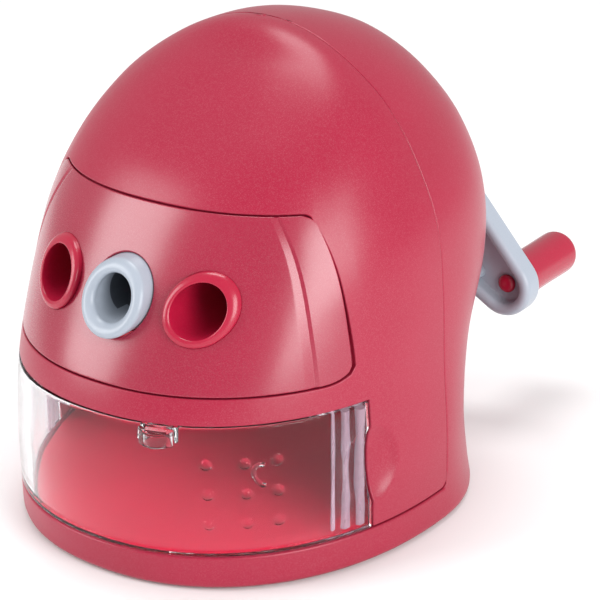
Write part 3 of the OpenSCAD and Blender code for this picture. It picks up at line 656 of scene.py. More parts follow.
drawer_tray = floor_piece("drawer_tray", FLOOR_LOW, FLOOR_LOW + FLOOR_T, FRONT_T + TRAY_GAP, TRAY_BACK,
                          TRAY_HALF)
tray_walls = []
for side in (-1, 1):
    low_x, high_x = sorted((side*TRAY_HALF, side*(TRAY_HALF - TRAY_T)))
    tray_walls.append(block_piece("side", (low_x, TRAY_FRONT, FLOOR_LOW),
                                  (high_x, TRAY_BACK, TRAY_TOP)))
tray_walls.append(block_piece("back", (-TRAY_HALF, TRAY_BACK - TRAY_T, FLOOR_LOW),
                              (TRAY_HALF, TRAY_BACK, TRAY_TOP)))
combine(drawer_tray, tray_walls, "UNION")
smooth_by_angle(drawer_tray, 32)
even_shading(drawer_tray)

# %% Grip dots, catch and gate mark
DOT_R, DOT_Z, DOT_STEP, DOT_Y, DOT_BESIDE = 1.15, 19.0, 5.6, 45.6, 4.2
CATCH_Y, CATCH_Z = 48.9, 30.2
GATE_Y, GATE_Z = 39.0, 21.6
details = []
bulge = np.linspace(-np.pi/2, np.pi/2, 17)
for row in range(3):
    for column in range(3):
        z = DOT_Z + (row - 1)*DOT_STEP
        place = skin(-angle_at(z, DOT_Y - DOT_BESIDE*column), z, 0.5, SEAM)
        details.append(lofted_piece("dot", place + turned(DOT_R*np.cos(bulge),
                                                          DOT_R*np.sin(bulge), 32)))
# The catch under the bridge is a half-round pocket, and the gate mark a low ring.
catch_r, catch_y = np.array([0, 3.2, 3.4, 3.4, 3.2, 2.6, 2.4, 2.4, 0]), np.array(
    [1.6, 1.6, 1.4, -1.2, -1.4, -1.4, -1.2, 0.6, 0.6])
catch_place = skin(-angle_at(CATCH_Z, CATCH_Y), CATCH_Z, 1.4, SEAM)
details.append(lofted_piece("catch", turned(catch_r, catch_y - 0.9, 40) + catch_place))
gate = np.linspace(0, 2*np.pi, 17)[:-1]
gate_place = skin(-angle_at(GATE_Z, GATE_Y), GATE_Z, FRONT_T + 0.05, SEAM)
details.append(lofted_piece("gate", along_y(turned(1.9 + 0.45*np.cos(gate), 0.45*np.sin(gate), 40))
                            + gate_place, closed=True))
combine(drawer, details, "UNION")
smooth_by_angle(drawer, 32)
even_shading(drawer)
print("drawer:", len(drawer.data.polygons), "faces")

# %% [markdown]
# ## The ends of the drawer
# The real ends are thick and ribbed, and show as pale upright bars. Three ribs at each end stand
# for them, in simpler form: upright rods with an oval section that swells and thins. Their
# paleness is painted light in their material.

# %% Ribs at the ends of the drawer
def rib_piece(name, x, y, width, depth, low, high):
    """Upright rib with an oval section that swells and thins along its height: the section's
    size is multiplied by 1 + 0.12*sin, less a fifth at mid height, so the light breaks up."""
    heights = np.linspace(low, high, 30)
    share = (heights - low)/(high - low)
    swell = 1 + 0.12*np.sin(share*9.0 + x) - 0.2*np.maximum(0, 1 - np.abs(share - 0.5)*5)
    around = np.linspace(0, 2*np.pi, 24, endpoint=False)
    corner = 2/3.4
    across = np.sign(np.cos(around))*np.abs(np.cos(around))**corner*width/2
    along = np.sign(np.sin(around))*np.abs(np.sin(around))**corner*depth/2
    rings = np.stack([x + across*swell[:, None], y + along*swell[:, None],
                      heights[:, None] + 0*across], axis=-1)
    low_pole = np.repeat(rings[:1].mean(axis=1, keepdims=True), 24, axis=1)
    high_pole = np.repeat(rings[-1:].mean(axis=1, keepdims=True), 24, axis=1)
    return lofted_piece(name, np.concatenate([low_pole, rings, high_pole]))


ribs = []
for side in (-1, 1):
    for x, y, width, depth in ((35.8, -22.4, 1.7, 1.8), (34.3, -24.9, 1.5, 1.6),
                               (33.0, -26.9, 0.5, 0.8)):
        ribs.append(rib_piece("rib", side*x, y, width, depth, FLOOR_LOW + 0.6, DRAWER_TOP - 0.6))
bpy.context.view_layer.update()
end_ribs = combine(ribs[0], ribs[1:], "UNION")
end_ribs.name = "drawer_end_ribs"
smooth_by_angle(end_ribs, 50)
print("end ribs:", len(end_ribs.data.polygons), "faces")

# %% [markdown]
# ## The crank
# The arm's outline is the hull of two circles, which stays such a hull when it is inset: only
# the radii shrink. So the rolled rim, the sunk web and the flat back are one profile carried
# round that outline. The knob and its pin are turned on the knob's axis.

# %% Arm
arm_low, arm_high = box_mm("crank_arm")
knob_low, knob_high = box_mm("crank_knob")
KNOB_X, KNOB_Z = float(knob_low[0] + knob_high[0])/2, float(knob_low[2] + knob_high[2])/2
KNOB_R = float(knob_high[0] - knob_low[0])/2
ARM_Y, ARM_T = float(arm_low[1]), float(arm_high[1] - arm_low[1])
HUB_R, TIP_R = 11.6, 6.2
ARM_LENGTH = math.hypot(KNOB_X, AXIS_Z - KNOB_Z)
ARM_TURN = math.atan2(KNOB_Z - AXIS_Z, KNOB_X)
CONTACT = math.acos((HUB_R - TIP_R)/ARM_LENGTH)
RIM_W, RECESS = 2.5, 3.0
PIN_HOLE_R, AXLE_HOLE_R, ARM_SCREW_R = 1.66, 3.05, 1.4
BOSS_ALONG, BOSS_ACROSS = 28.2, -3.4


def arm_ring(inset):
    """Outline of the arm, inset: the hub's arc, a straight side, the tip's arc, a straight side."""
    hub, tip = HUB_R - inset, TIP_R - inset
    hub_turn = np.linspace(CONTACT, 2*np.pi - CONTACT, 60)
    tip_turn = np.linspace(-CONTACT, CONTACT, 40)
    side = np.linspace(0, 1, 26)[1:-1]
    hub_arc = hub*np.stack([np.cos(hub_turn), np.sin(hub_turn)], axis=-1)
    tip_arc = tip*np.stack([np.cos(tip_turn), np.sin(tip_turn)], axis=-1) + [ARM_LENGTH, 0]
    low_side = hub_arc[-1] + (tip_arc[0] - hub_arc[-1])*side[:, None]
    high_side = tip_arc[-1] + (hub_arc[0] - tip_arc[-1])*side[:, None]
    return np.concatenate([hub_arc, low_side, tip_arc, high_side])


def spine(ring):
    """The ring squeezed onto the arm's middle line, which closes a flat face."""
    return np.stack([np.clip(ring[:, 0], 0, ARM_LENGTH), 0*ring[:, 1]], axis=-1)


def on_arm(flat, depth):
    """Places points drawn flat on the arm: turned to its angle, depth along +Y from its front."""
    c, s = math.cos(ARM_TURN), math.sin(ARM_TURN)
    return np.stack([flat[..., 0]*c - flat[..., 1]*s, ARM_Y + depth + 0*flat[..., 0],
                     AXIS_Z + flat[..., 0]*s + flat[..., 1]*c], axis=-1)


roll = np.linspace(0, np.pi, 13)
rim_r = RIM_W/2
arm_profile = [(RIM_W + 0.9, RECESS), (RIM_W + 0.25, RECESS - 0.12), (RIM_W, RECESS - 0.5)]
arm_profile += [(rim_r + rim_r*math.cos(w), rim_r - rim_r*math.sin(w)) for w in roll]
arm_profile += [(0, ARM_T - 0.9), (0.08, ARM_T - 0.45), (0.32, ARM_T - 0.15), (0.8, ARM_T)]
rings = [on_arm(arm_ring(inset), depth) for inset, depth in arm_profile]
rings.insert(0, on_arm(spine(arm_ring(RIM_W)), RECESS))
rings.append(on_arm(spine(arm_ring(0.8)), ARM_T))
crank_arm = lofted_piece("crank_arm_grey", np.stack(rings))


def boss_piece(name, along, across, profile, around=64):
    """Turned boss on the arm: profile of (radius, depth from the arm's front)."""
    radii, depths = np.array(profile).T
    rings = turned(radii, depths, around)
    return lofted_piece(name, on_arm(rings[..., :2] + [along, across], rings[..., 2]))


hub_boss = boss_piece("boss", 0, 0, [(0, 0.8), (5.6, 0.8), (6.1, 0.95), (6.35, 1.4), (6.4, 2.0),
                                     (6.4, RECESS + 0.6), (0, RECESS + 0.6)])
small_boss = boss_piece("boss", BOSS_ALONG, BOSS_ACROSS,
                        [(0, 1.0), (1.0, 1.0), (1.3, 1.15), (1.4, 1.5),
                         (1.4, RECESS + 0.6), (0, RECESS + 0.6)], 32)
axle_hole = boss_piece("hole", 0, 0, [
    (0, -2), (AXLE_HOLE_R, -2), (AXLE_HOLE_R, ARM_T - 1.15), (ARM_SCREW_R, ARM_T - 1.15),
    (ARM_SCREW_R, ARM_T + 2), (0, ARM_T + 2)])
pin_hole = boss_piece("hole", ARM_LENGTH, 0, [
    (0, -2), (PIN_HOLE_R, -2), (PIN_HOLE_R, ARM_T + 2), (0, ARM_T + 2)], 48)
combine(crank_arm, [hub_boss, small_boss], "UNION")
combine(crank_arm, [axle_hole, pin_hole], "DIFFERENCE")
smooth_by_angle(crank_arm, 40)
even_shading(crank_arm)
print("arm:", round(ARM_LENGTH, 1), "mm between axes, at", round(math.degrees(ARM_TURN), 1), "degrees")

# %% Knob and pin
KNOB_LENGTH = float(knob_high[1] - knob_low[1])
END_ROUND = 2.2
BORE_DEPTH = 15.8
knob_r = [PIN_HOLE_R, PIN_HOLE_R, 3.9, 4.25, KNOB_R]
knob_y = [BORE_DEPTH, 0.0, 0.0, 0.12, 0.5]
belly = np.linspace(0, 1, 13)[1:]
knob_r += list(KNOB_R - 0.07*np.sin(belly*np.pi)**2)
knob_y += list(0.5 + belly*(KNOB_LENGTH - END_ROUND - 0.5))
end_turn = np.radians(np.linspace(6, 90, 14))
knob_r += list(KNOB_R - END_ROUND + END_ROUND*np.cos(end_turn)) + [0]
knob_y += list(KNOB_LENGTH - END_ROUND + END_ROUND*np.sin(end_turn)) + [KNOB_LENGTH]
knob_r, knob_y = [0] + knob_r, [BORE_DEPTH] + knob_y
crank_knob = lofted_piece("crank_knob_red", along_y(turned(knob_r, knob_y, 96), KNOB_X,
                                                   float(knob_low[1]), KNOB_Z))
smooth_by_angle(crank_knob, 50)
pin_low, pin_high = box_mm("knob_pin")
PIN_LENGTH = float(pin_high[1] - pin_low[1])
pin_r = [0, 0.6, 1.1, 1.5, 1.76, 1.85, 1.85, 1.6, 1.6, 1.45, 0]
pin_y = [0, 0.02, 0.1, 0.26, 0.5, 0.75, 1.0, 1.0, PIN_LENGTH - 0.15, PIN_LENGTH, PIN_LENGTH]
knob_pin = lofted_piece("knob_pin_red", along_y(turned(pin_r, pin_y, 48), KNOB_X,
                                               float(pin_low[1]), KNOB_Z))
smooth_by_angle(knob_pin, 50)
print("knob:", round(KNOB_LENGTH, 1), "mm long, radius", round(KNOB_R, 2), "mm")

# %% [markdown]
# ## Moulded plastic
# Every opaque plastic piece comes out of a polished or spark-eroded mould, so it has the same
# make-up: a colour that drifts a little over the piece, a fine eroded grain, a roughness that
# follows the grain, and for the dome a pearl additive. Its flakes are painted glints, a few
# lighter specks in the colour, and its sheen is painted: the colour pales where the surface is
# seen edge on.
# Object coordinates are in metres, so a noise scale of 1000 gives grains about a millimetre wide.

# %% Moulded plastic
def moulded_plastic(name, tone, shade, roughness, grain_mm, grain_height, pearl, coat):
    """Plastic from tone and shade (its slightly darker drift), grain size in mm and its height
    in metres, and pearl from 0 to 1, which sets the painted glints of the flakes and the painted
    sheen seen edge on. Roughness = the given value, 12% up and down by the grain."""
    material = bpy.data.materials.new(name)
    material.use_nodes = True
    nodes, links = material.node_tree.nodes, material.node_tree.links
    nodes.clear()

    place = nodes.new("ShaderNodeTexCoord")
    place.label = "where on the piece"
    drift = nodes.new("ShaderNodeTexNoise")
    drift.label = "slow drift of the batch colour"
    drift.inputs["Scale"].default_value = 38.0
    drift.inputs["Detail"].default_value = 2.0
    drift_range = nodes.new("ShaderNodeMapRange")
    drift_range.label = "how far the colour drifts"
    drift_range.inputs["From Min"].default_value = 0.3
    drift_range.inputs["From Max"].default_value = 0.7
    drift_range.inputs["To Max"].default_value = 1.0
    body_colour = nodes.new("ShaderNodeMix")
    body_colour.label = "pigment"
    body_colour.data_type = "RGBA"
    body_colour.inputs["A"].default_value = (*tone, 1)
    body_colour.inputs["B"].default_value = (*shade, 1)

    # Painted glints: a few flakes are lighter specks in the colour, the same under any lamp, standing
    # for flakes that catch the light.
    flakes = nodes.new("ShaderNodeTexVoronoi")
    flakes.label = "pearl flakes, each with its own tilt"
    flakes.inputs["Scale"].default_value = 9000.0
    flake_tilt = nodes.new("ShaderNodeSeparateColor")
    flake_tilt.label = "one number for each flake"
    flake_painted_glint_range = nodes.new("ShaderNodeMapRange")
    flake_painted_glint_range.label = "only a few flakes face the light"
    flake_painted_glint_range.inputs["From Min"].default_value = 0.55
    flake_painted_glint_range.inputs["From Max"].default_value = 1.0
    flake_painted_glint_range.inputs["To Max"].default_value = 0.16*pearl
    flake_painted_glint_colour = nodes.new("ShaderNodeMix")
    flake_painted_glint_colour.label = "pigment with pearl specks"
    flake_painted_glint_colour.data_type = "RGBA"
    flake_painted_glint_colour.inputs["B"].default_value = (*[min(1, 0.35 + 0.9*v) for v in tone], 1)
    # Painted sheen: the colour pales where the surface is seen edge on, standing for the sheen of the
    # pearl.
    painted_sheen_angle = nodes.new("ShaderNodeLayerWeight")
    painted_sheen_angle.label = "pearl shows most when seen edge on"
    painted_sheen_angle.inputs["Blend"].default_value = 0.32
    painted_sheen_range = nodes.new("ShaderNodeMapRange")
    painted_sheen_range.label = "strength of the pearl veil"
    painted_sheen_range.inputs["To Max"].default_value = 0.10*pearl
    colour_with_painted_sheen = nodes.new("ShaderNodeMix")
    colour_with_painted_sheen.label = "colour with the pearl veil"
    colour_with_painted_sheen.data_type = "RGBA"
    colour_with_painted_sheen.inputs["B"].default_value = (*[min(1, 0.16 + 1.0*v) for v in tone], 1)

    grain = nodes.new("ShaderNodeTexNoise")
    grain.label = "eroded grain of the mould"
    grain.inputs["Scale"].default_value = 1000.0/grain_mm
    grain.inputs["Detail"].default_value = 3.0
    grain.inputs["Roughness"].default_value = 0.6
    ripple = nodes.new("ShaderNodeTexNoise")
    ripple.label = "faint waviness of the wall"
    ripple.inputs["Scale"].default_value = 130.0
    ripple.inputs["Detail"].default_value = 1.0
    ripple_bump = nodes.new("ShaderNodeBump")
    ripple_bump.label = "waviness, a few thousandths of a millimetre"
    ripple_bump.inputs["Strength"].default_value = 0.12
    ripple_bump.inputs["Distance"].default_value = 0.00004
    grain_bump = nodes.new("ShaderNodeBump")
    grain_bump.label = "grain relief"
    grain_bump.inputs["Strength"].default_value = 0.6
    grain_bump.inputs["Distance"].default_value = grain_height
    rough_range = nodes.new("ShaderNodeMapRange")
    rough_range.label = "rougher in the pits of the grain"
    rough_range.inputs["From Min"].default_value = 0.3
    rough_range.inputs["From Max"].default_value = 0.7
    rough_range.inputs["To Min"].default_value = roughness*1.12
    rough_range.inputs["To Max"].default_value = roughness*0.88

    plastic = nodes.new("ShaderNodeBsdfPrincipled")
    plastic.label = "plastic surface"
    plastic.inputs["IOR"].default_value = 1.44
    plastic.inputs["Coat Weight"].default_value = coat
    plastic.inputs["Coat Roughness"].default_value = 0.24
    surface = nodes.new("ShaderNodeOutputMaterial")
    surface.label = "finish"

    links.new(place.outputs["Object"], drift.inputs["Vector"])
    links.new(drift.outputs["Fac"], drift_range.inputs["Value"])
    links.new(drift_range.outputs["Result"], body_colour.inputs["Factor"])
    links.new(place.outputs["Object"], flakes.inputs["Vector"])
    links.new(flakes.outputs["Color"], flake_tilt.inputs["Color"])
    links.new(flake_tilt.outputs["Red"], flake_painted_glint_range.inputs["Value"])
    links.new(flake_painted_glint_range.outputs["Result"], flake_painted_glint_colour.inputs["Factor"])
    links.new(body_colour.outputs["Result"], flake_painted_glint_colour.inputs["A"])
    links.new(painted_sheen_angle.outputs["Facing"], painted_sheen_range.inputs["Value"])
    links.new(painted_sheen_range.outputs["Result"], colour_with_painted_sheen.inputs["Factor"])
    links.new(flake_painted_glint_colour.outputs["Result"], colour_with_painted_sheen.inputs["A"])
    links.new(colour_with_painted_sheen.outputs["Result"], plastic.inputs["Base Color"])
    links.new(place.outputs["Object"], grain.inputs["Vector"])
    links.new(place.outputs["Object"], ripple.inputs["Vector"])
    links.new(ripple.outputs["Fac"], ripple_bump.inputs["Height"])
    links.new(ripple_bump.outputs["Normal"], grain_bump.inputs["Normal"])
    links.new(grain.outputs["Fac"], grain_bump.inputs["Height"])
    links.new(grain_bump.outputs["Normal"], plastic.inputs["Normal"])
    links.new(grain.outputs["Fac"], rough_range.inputs["Value"])
    links.new(rough_range.outputs["Result"], plastic.inputs["Roughness"])
    links.new(plastic.outputs["BSDF"], surface.inputs["Surface"])

    frames = {"colour": [drift, drift_range, body_colour],
              "pearl": [flakes, flake_tilt, flake_painted_glint_range, flake_painted_glint_colour, painted_sheen_angle, painted_sheen_range,
                        colour_with_painted_sheen],
              "grain and roughness": [grain, ripple, ripple_bump, grain_bump, rough_range],
              "surface": [plastic, surface]}
    place.location = (-1500, 0)
    for row, (title, members) in enumerate(frames.items()):
        box = nodes.new("NodeFrame")
        box.label = title
        for column, node in enumerate(members):
            node.location = (-1200 + 210*column, 500 - 330*row)
            node.parent = box
    return material


shell_red = moulded_plastic("pearl_red_plastic", (0.345, 0.005, 0.036), (0.318, 0.004, 0.031),
                            0.35, 0.22, 0.000014, 0.6, 0.10)
panel_red = moulded_plastic("panel_red_plastic", (0.325, 0.004, 0.034), (0.30, 0.003, 0.030),
                            0.26, 0.16, 0.000004, 0.5, 0.60)
# The cups' red is lighter than the shell's: partly its own tone, partly painted light for the lit
# insides of the cups. The knob and its pin share it.
cup_red_painted_light = moulded_plastic("deep_red_painted_light_plastic", (0.40, 0.006, 0.036), (0.37, 0.005, 0.032),
                          0.24, 0.15, 0.000002, 0.15, 0.2)
soft_grey = moulded_plastic("cool_grey_plastic", (0.37, 0.41, 0.475), (0.34, 0.38, 0.44),
                            0.30, 0.2, 0.000003, 0.1, 0.15)
dark_grey = moulded_plastic("dark_grey_plastic", (0.055, 0.056, 0.06), (0.045, 0.046, 0.05),
                            0.45, 0.3, 0.000008, 0.0, 0.0)
# A darker copy of the grey: painted shade for the deep bore of the guide.
bore_painted_shade = moulded_plastic("bore_painted_shade_plastic", (0.10, 0.11, 0.13), (0.08, 0.09, 0.11),
                            0.35, 0.2, 0.000003, 0.1, 0.1)
# The chassis red is lifted far above the shell's: partly its own red, partly painted light for the light
# that reaches the inside through the clear drawer.
chassis_red_painted_light = moulded_plastic("chassis_red_painted_light_plastic", (0.80, 0.012, 0.060), (0.74, 0.010, 0.054),
                            0.45, 0.2, 0.000004, 0.0, 0.0)
print("plastics:", [m.name for m in (shell_red, panel_red, cup_red_painted_light, soft_grey, dark_grey,
                                     bore_painted_shade, chassis_red_painted_light)])

# %% [markdown]
# ## Clear plastic
# The drawer's front is glossy clear styrene. A glass shader alone would stop the lamps' direct light and
# leave everything behind it in noise, so shadow rays pass straight through and all other rays
# see the clear plastic. Its polish is never perfect: broad flow lines from the moulding tilt the
# surface a little, and handling leaves hair scratches that make it rougher in places. The index
# of refraction is 1.40 and the reflection is tinted down to about a third. Real styrene has 1.59
# and reflects more. Both values were chosen so that the red inside stays deep.

# %% Clear plastic
def clear_plastic(name, tint, roughness):
    """Clear plastic with flow lines and fine scratches."""
    material = bpy.data.materials.new(name)
    material.use_nodes = True
    nodes, links = material.node_tree.nodes, material.node_tree.links
    nodes.clear()

    place = nodes.new("ShaderNodeTexCoord")
    place.label = "where on the drawer"
    flow_turn = nodes.new("ShaderNodeMapping")
    flow_turn.label = "flow lines run upwards"
    flow_turn.inputs["Scale"].default_value = (1.0, 1.0, 0.16)
    flow = nodes.new("ShaderNodeTexNoise")
    flow.label = "flow lines of the melt"
    flow.inputs["Scale"].default_value = 95.0
    flow.inputs["Detail"].default_value = 1.5
    flow_bump = nodes.new("ShaderNodeBump")
    flow_bump.label = "the lines bend the view a little"
    flow_bump.inputs["Strength"].default_value = 0.22
    flow_bump.inputs["Distance"].default_value = 0.00012
    scratch_turn = nodes.new("ShaderNodeMapping")
    scratch_turn.label = "hair scratches from handling"
    scratch_turn.inputs["Scale"].default_value = (0.3, 0.3, 3.0)
    scratch_turn.inputs["Rotation"].default_value = (0.3, 0.2, 0.1)
    scratch = nodes.new("ShaderNodeTexNoise")
    scratch.label = "scratches and dust"
    scratch.inputs["Scale"].default_value = 900.0
    scratch.inputs["Detail"].default_value = 4.0
    rough_range = nodes.new("ShaderNodeMapRange")
    rough_range.label = "haze where it is scratched"
    rough_range.inputs["From Min"].default_value = 0.52
    rough_range.inputs["From Max"].default_value = 0.75
    rough_range.inputs["To Min"].default_value = roughness
    rough_range.inputs["To Max"].default_value = roughness + 0.10

    clear = nodes.new("ShaderNodeBsdfPrincipled")
    clear.label = "clear styrene"
    clear.inputs["Base Color"].default_value = (*tint, 1)
    clear.inputs["IOR"].default_value = 1.40
    clear.inputs["Specular Tint"].default_value = (0.35, 0.35, 0.36, 1)
    clear.inputs["Transmission Weight"].default_value = 1.0
    ray = nodes.new("ShaderNodeLightPath")
    ray.label = "shadow rays are told apart"
    pass_light = nodes.new("ShaderNodeBsdfTransparent")
    pass_light.label = "light of the lamps passes"
    pass_light.inputs["Color"].default_value = (0.93, 0.94, 0.95, 1)
    choice = nodes.new("ShaderNodeMixShader")
    choice.label = "clear to the eye, open to the lamps"
    surface = nodes.new("ShaderNodeOutputMaterial")
    surface.label = "finish"

    links.new(place.outputs["Object"], flow_turn.inputs["Vector"])
    links.new(flow_turn.outputs["Vector"], flow.inputs["Vector"])
    links.new(flow.outputs["Fac"], flow_bump.inputs["Height"])
    links.new(flow_bump.outputs["Normal"], clear.inputs["Normal"])
    links.new(place.outputs["Object"], scratch_turn.inputs["Vector"])
    links.new(scratch_turn.outputs["Vector"], scratch.inputs["Vector"])
    links.new(scratch.outputs["Fac"], rough_range.inputs["Value"])
    links.new(rough_range.outputs["Result"], clear.inputs["Roughness"])
    links.new(ray.outputs["Is Shadow Ray"], choice.inputs["Fac"])
    links.new(clear.outputs["BSDF"], choice.inputs[1])
    links.new(pass_light.outputs["BSDF"], choice.inputs[2])
    links.new(choice.outputs["Shader"], surface.inputs["Surface"])

    frames = {"flow lines": [flow_turn, flow, flow_bump],
              "scratches": [scratch_turn, scratch, rough_range],
              "light": [ray, pass_light, clear, choice, surface]}
    place.location = (-1300, 0)
    for row, (title, members) in enumerate(frames.items()):
        box = nodes.new("NodeFrame")
        box.label = title
        for column, node in enumerate(members):
            node.location = (-1000 + 220*column, 300 - 330*row)
            node.parent = box
    return material


drawer_clear = clear_plastic("clear_styrene", (0.97, 0.975, 0.985), 0.02)
print("clear plastic:", drawer_clear.name)

# %% [markdown]
# ## Thin clear walls
# On the real drawer the tray and the ribs at its ends are the same clear plastic as the front.
# Shavings scuff the tray, and the ribs gather light; the ribs' pale cover is painted light that
# stands for it. These two finishes do not bend the view, as the real walls do. They only hide a
# share of what is behind them: little where a wall is seen square on, more where it is seen edge
# on. The tray hides so little that it almost disappears against a pale floor when the drawer is
# pulled out.

# %% Thin clear plastic
def thin_clear_plastic(name, tint, roughness, cover, edge_cover):
    """Thin clear wall that does not bend the view. It hides a share of what is behind it: cover
    when seen square on, edge_cover when seen edge on; the pale cover that grows edge on is painted
    light, standing for the light a clear wall gathers there. Scuffs make it rougher, not denser."""
    material = bpy.data.materials.new(name)
    material.use_nodes = True
    nodes, links = material.node_tree.nodes, material.node_tree.links
    nodes.clear()

    place = nodes.new("ShaderNodeTexCoord")
    place.label = "where on the tray"
    scuffs = nodes.new("ShaderNodeTexNoise")
    scuffs.label = "scuffs from shavings"
    scuffs.inputs["Scale"].default_value = 420.0
    scuffs.inputs["Detail"].default_value = 5.0
    scuff_range = nodes.new("ShaderNodeMapRange")
    scuff_range.label = "rougher in the scuffs"
    scuff_range.inputs["From Min"].default_value = 0.4
    scuff_range.inputs["From Max"].default_value = 0.8
    scuff_range.inputs["To Min"].default_value = roughness
    scuff_range.inputs["To Max"].default_value = roughness + 0.2
    edge_on_painted_light = nodes.new("ShaderNodeLayerWeight")
    edge_on_painted_light.label = "gathers light when seen edge on"
    edge_on_painted_light.inputs["Blend"].default_value = 0.25
    cover_range = nodes.new("ShaderNodeMapRange")
    cover_range.label = "how much the wall hides"
    cover_range.inputs["To Min"].default_value = cover
    cover_range.inputs["To Max"].default_value = edge_cover
    wall = nodes.new("ShaderNodeBsdfPrincipled")
    wall.label = "thin clear wall"
    wall.inputs["Base Color"].default_value = (*tint, 1)
    wall.inputs["IOR"].default_value = 1.3
    surface = nodes.new("ShaderNodeOutputMaterial")
    surface.label = "finish"

    links.new(place.outputs["Object"], scuffs.inputs["Vector"])
    links.new(scuffs.outputs["Fac"], scuff_range.inputs["Value"])
    links.new(scuff_range.outputs["Result"], wall.inputs["Roughness"])
    links.new(edge_on_painted_light.outputs["Facing"], cover_range.inputs["Value"])
    links.new(cover_range.outputs["Result"], wall.inputs["Alpha"])
    links.new(wall.outputs["BSDF"], surface.inputs["Surface"])

    frames = {"scuffs": [scuffs, scuff_range], "cover": [edge_on_painted_light, cover_range],
              "surface": [wall, surface]}
    place.location = (-900, 0)
    for row, (title, members) in enumerate(frames.items()):
        box = nodes.new("NodeFrame")
        box.label = title
        for column, node in enumerate(members):
            node.location = (-600 + 220*column, 300 - 330*row)
            node.parent = box
    return material


tray_clear = thin_clear_plastic("thin_clear_styrene", (0.50, 0.38, 0.42), 0.12,
                                0.03, 0.10)
# The ribs' pale, half-hiding cover is painted light, standing for the light that clear ribs gather.
rib_painted_light = thin_clear_plastic("rib_painted_light_styrene", (0.52, 0.36, 0.44), 0.25,
                               0.42, 0.77)
print("thin clear plastics:", tray_clear.name, rib_painted_light.name)

# %% [markdown]
# ## Metals
# The screws are zinc-plated steel, the bush is sintered brass and the gears and the cutter are
# hardened steel. All are drawn, turned or milled, so the sheen is broken by fine parallel tool
# lines, with darker oil in the hollows. One function takes the colour, the spacing of the lines
# and the direction they run in.

# %% Metal
def machined_metal(name, tone, stain, roughness, line_mm, across):
    """Metal with tool lines: noise squeezed along the line direction, scale = across."""
    material = bpy.data.materials.new(name)
    material.use_nodes = True
    nodes, links = material.node_tree.nodes, material.node_tree.links
    nodes.clear()

    place = nodes.new("ShaderNodeTexCoord")
    place.label = "where on the metal"
    line_turn = nodes.new("ShaderNodeMapping")
    line_turn.label = "direction of the tool lines"
    line_turn.inputs["Scale"].default_value = across
    lines = nodes.new("ShaderNodeTexNoise")
    lines.label = "tool lines"
    lines.inputs["Scale"].default_value = 1000.0/line_mm
    lines.inputs["Detail"].default_value = 3.0
    line_bump = nodes.new("ShaderNodeBump")
    line_bump.label = "relief of the tool lines"
    line_bump.inputs["Strength"].default_value = 0.35
    line_bump.inputs["Distance"].default_value = 0.00001
    rough_range = nodes.new("ShaderNodeMapRange")
    rough_range.label = "dull and bright lines"
    rough_range.inputs["From Min"].default_value = 0.3
    rough_range.inputs["From Max"].default_value = 0.7
    rough_range.inputs["To Min"].default_value = roughness*0.7
    rough_range.inputs["To Max"].default_value = roughness*1.3
    oil = nodes.new("ShaderNodeTexNoise")
    oil.label = "oil and tarnish in patches"
    oil.inputs["Scale"].default_value = 240.0
    oil.inputs["Detail"].default_value = 5.0
    oil_range = nodes.new("ShaderNodeMapRange")
    oil_range.label = "how much is tarnished"
    oil_range.inputs["From Min"].default_value = 0.45
    oil_range.inputs["From Max"].default_value = 0.75
    oil_range.inputs["To Max"].default_value = 0.7
    metal_colour = nodes.new("ShaderNodeMix")
    metal_colour.label = "bright metal and tarnish"
    metal_colour.data_type = "RGBA"
    metal_colour.inputs["A"].default_value = (*tone, 1)
    metal_colour.inputs["B"].default_value = (*stain, 1)
    metal = nodes.new("ShaderNodeBsdfPrincipled")
    metal.label = "metal surface"
    metal.inputs["Metallic"].default_value = 1.0
    metal.inputs["Anisotropic"].default_value = 0.3
    surface = nodes.new("ShaderNodeOutputMaterial")
    surface.label = "finish"

    links.new(place.outputs["Object"], line_turn.inputs["Vector"])
    links.new(line_turn.outputs["Vector"], lines.inputs["Vector"])
    links.new(lines.outputs["Fac"], line_bump.inputs["Height"])
    links.new(line_bump.outputs["Normal"], metal.inputs["Normal"])
    links.new(lines.outputs["Fac"], rough_range.inputs["Value"])
    links.new(rough_range.outputs["Result"], metal.inputs["Roughness"])
    links.new(place.outputs["Object"], oil.inputs["Vector"])
    links.new(oil.outputs["Fac"], oil_range.inputs["Value"])
    links.new(oil_range.outputs["Result"], metal_colour.inputs["Factor"])
    links.new(metal_colour.outputs["Result"], metal.inputs["Base Color"])
    links.new(metal.outputs["BSDF"], surface.inputs["Surface"])

    frames = {"tool lines": [line_turn, lines, line_bump, rough_range],
              "tarnish": [oil, oil_range, metal_colour],
              "surface": [metal, surface]}
    place.location = (-1300, 0)
    for row, (title, members) in enumerate(frames.items()):
        box = nodes.new("NodeFrame")
        box.label = title
        for column, node in enumerate(members):
            node.location = (-1000 + 220*column, 300 - 330*row)
            node.parent = box
    return material


zinc_steel = machined_metal("zinc_plated_steel", (0.74, 0.75, 0.76), (0.5, 0.5, 0.49), 0.3,
                            0.25, (1.0, 4.0, 1.0))
gear_steel = machined_metal("hardened_steel", (0.52, 0.53, 0.55), (0.3, 0.29, 0.28), 0.26,
                            0.2, (1.0, 5.0, 1.0))
brass = machined_metal("sintered_brass", (0.72, 0.52, 0.24), (0.42, 0.28, 0.12), 0.34,
                       0.3, (1.0, 3.0, 1.0))
print("metals:", [m.name for m in (zinc_steel, gear_steel, brass)])

# %% [markdown]
# ## Rubber
# The mat under the base is foamed rubber: matt, nearly black, with open pores about half a
# millimetre wide and pale dust in them. A cell pattern gives the pores and a noise the dust.

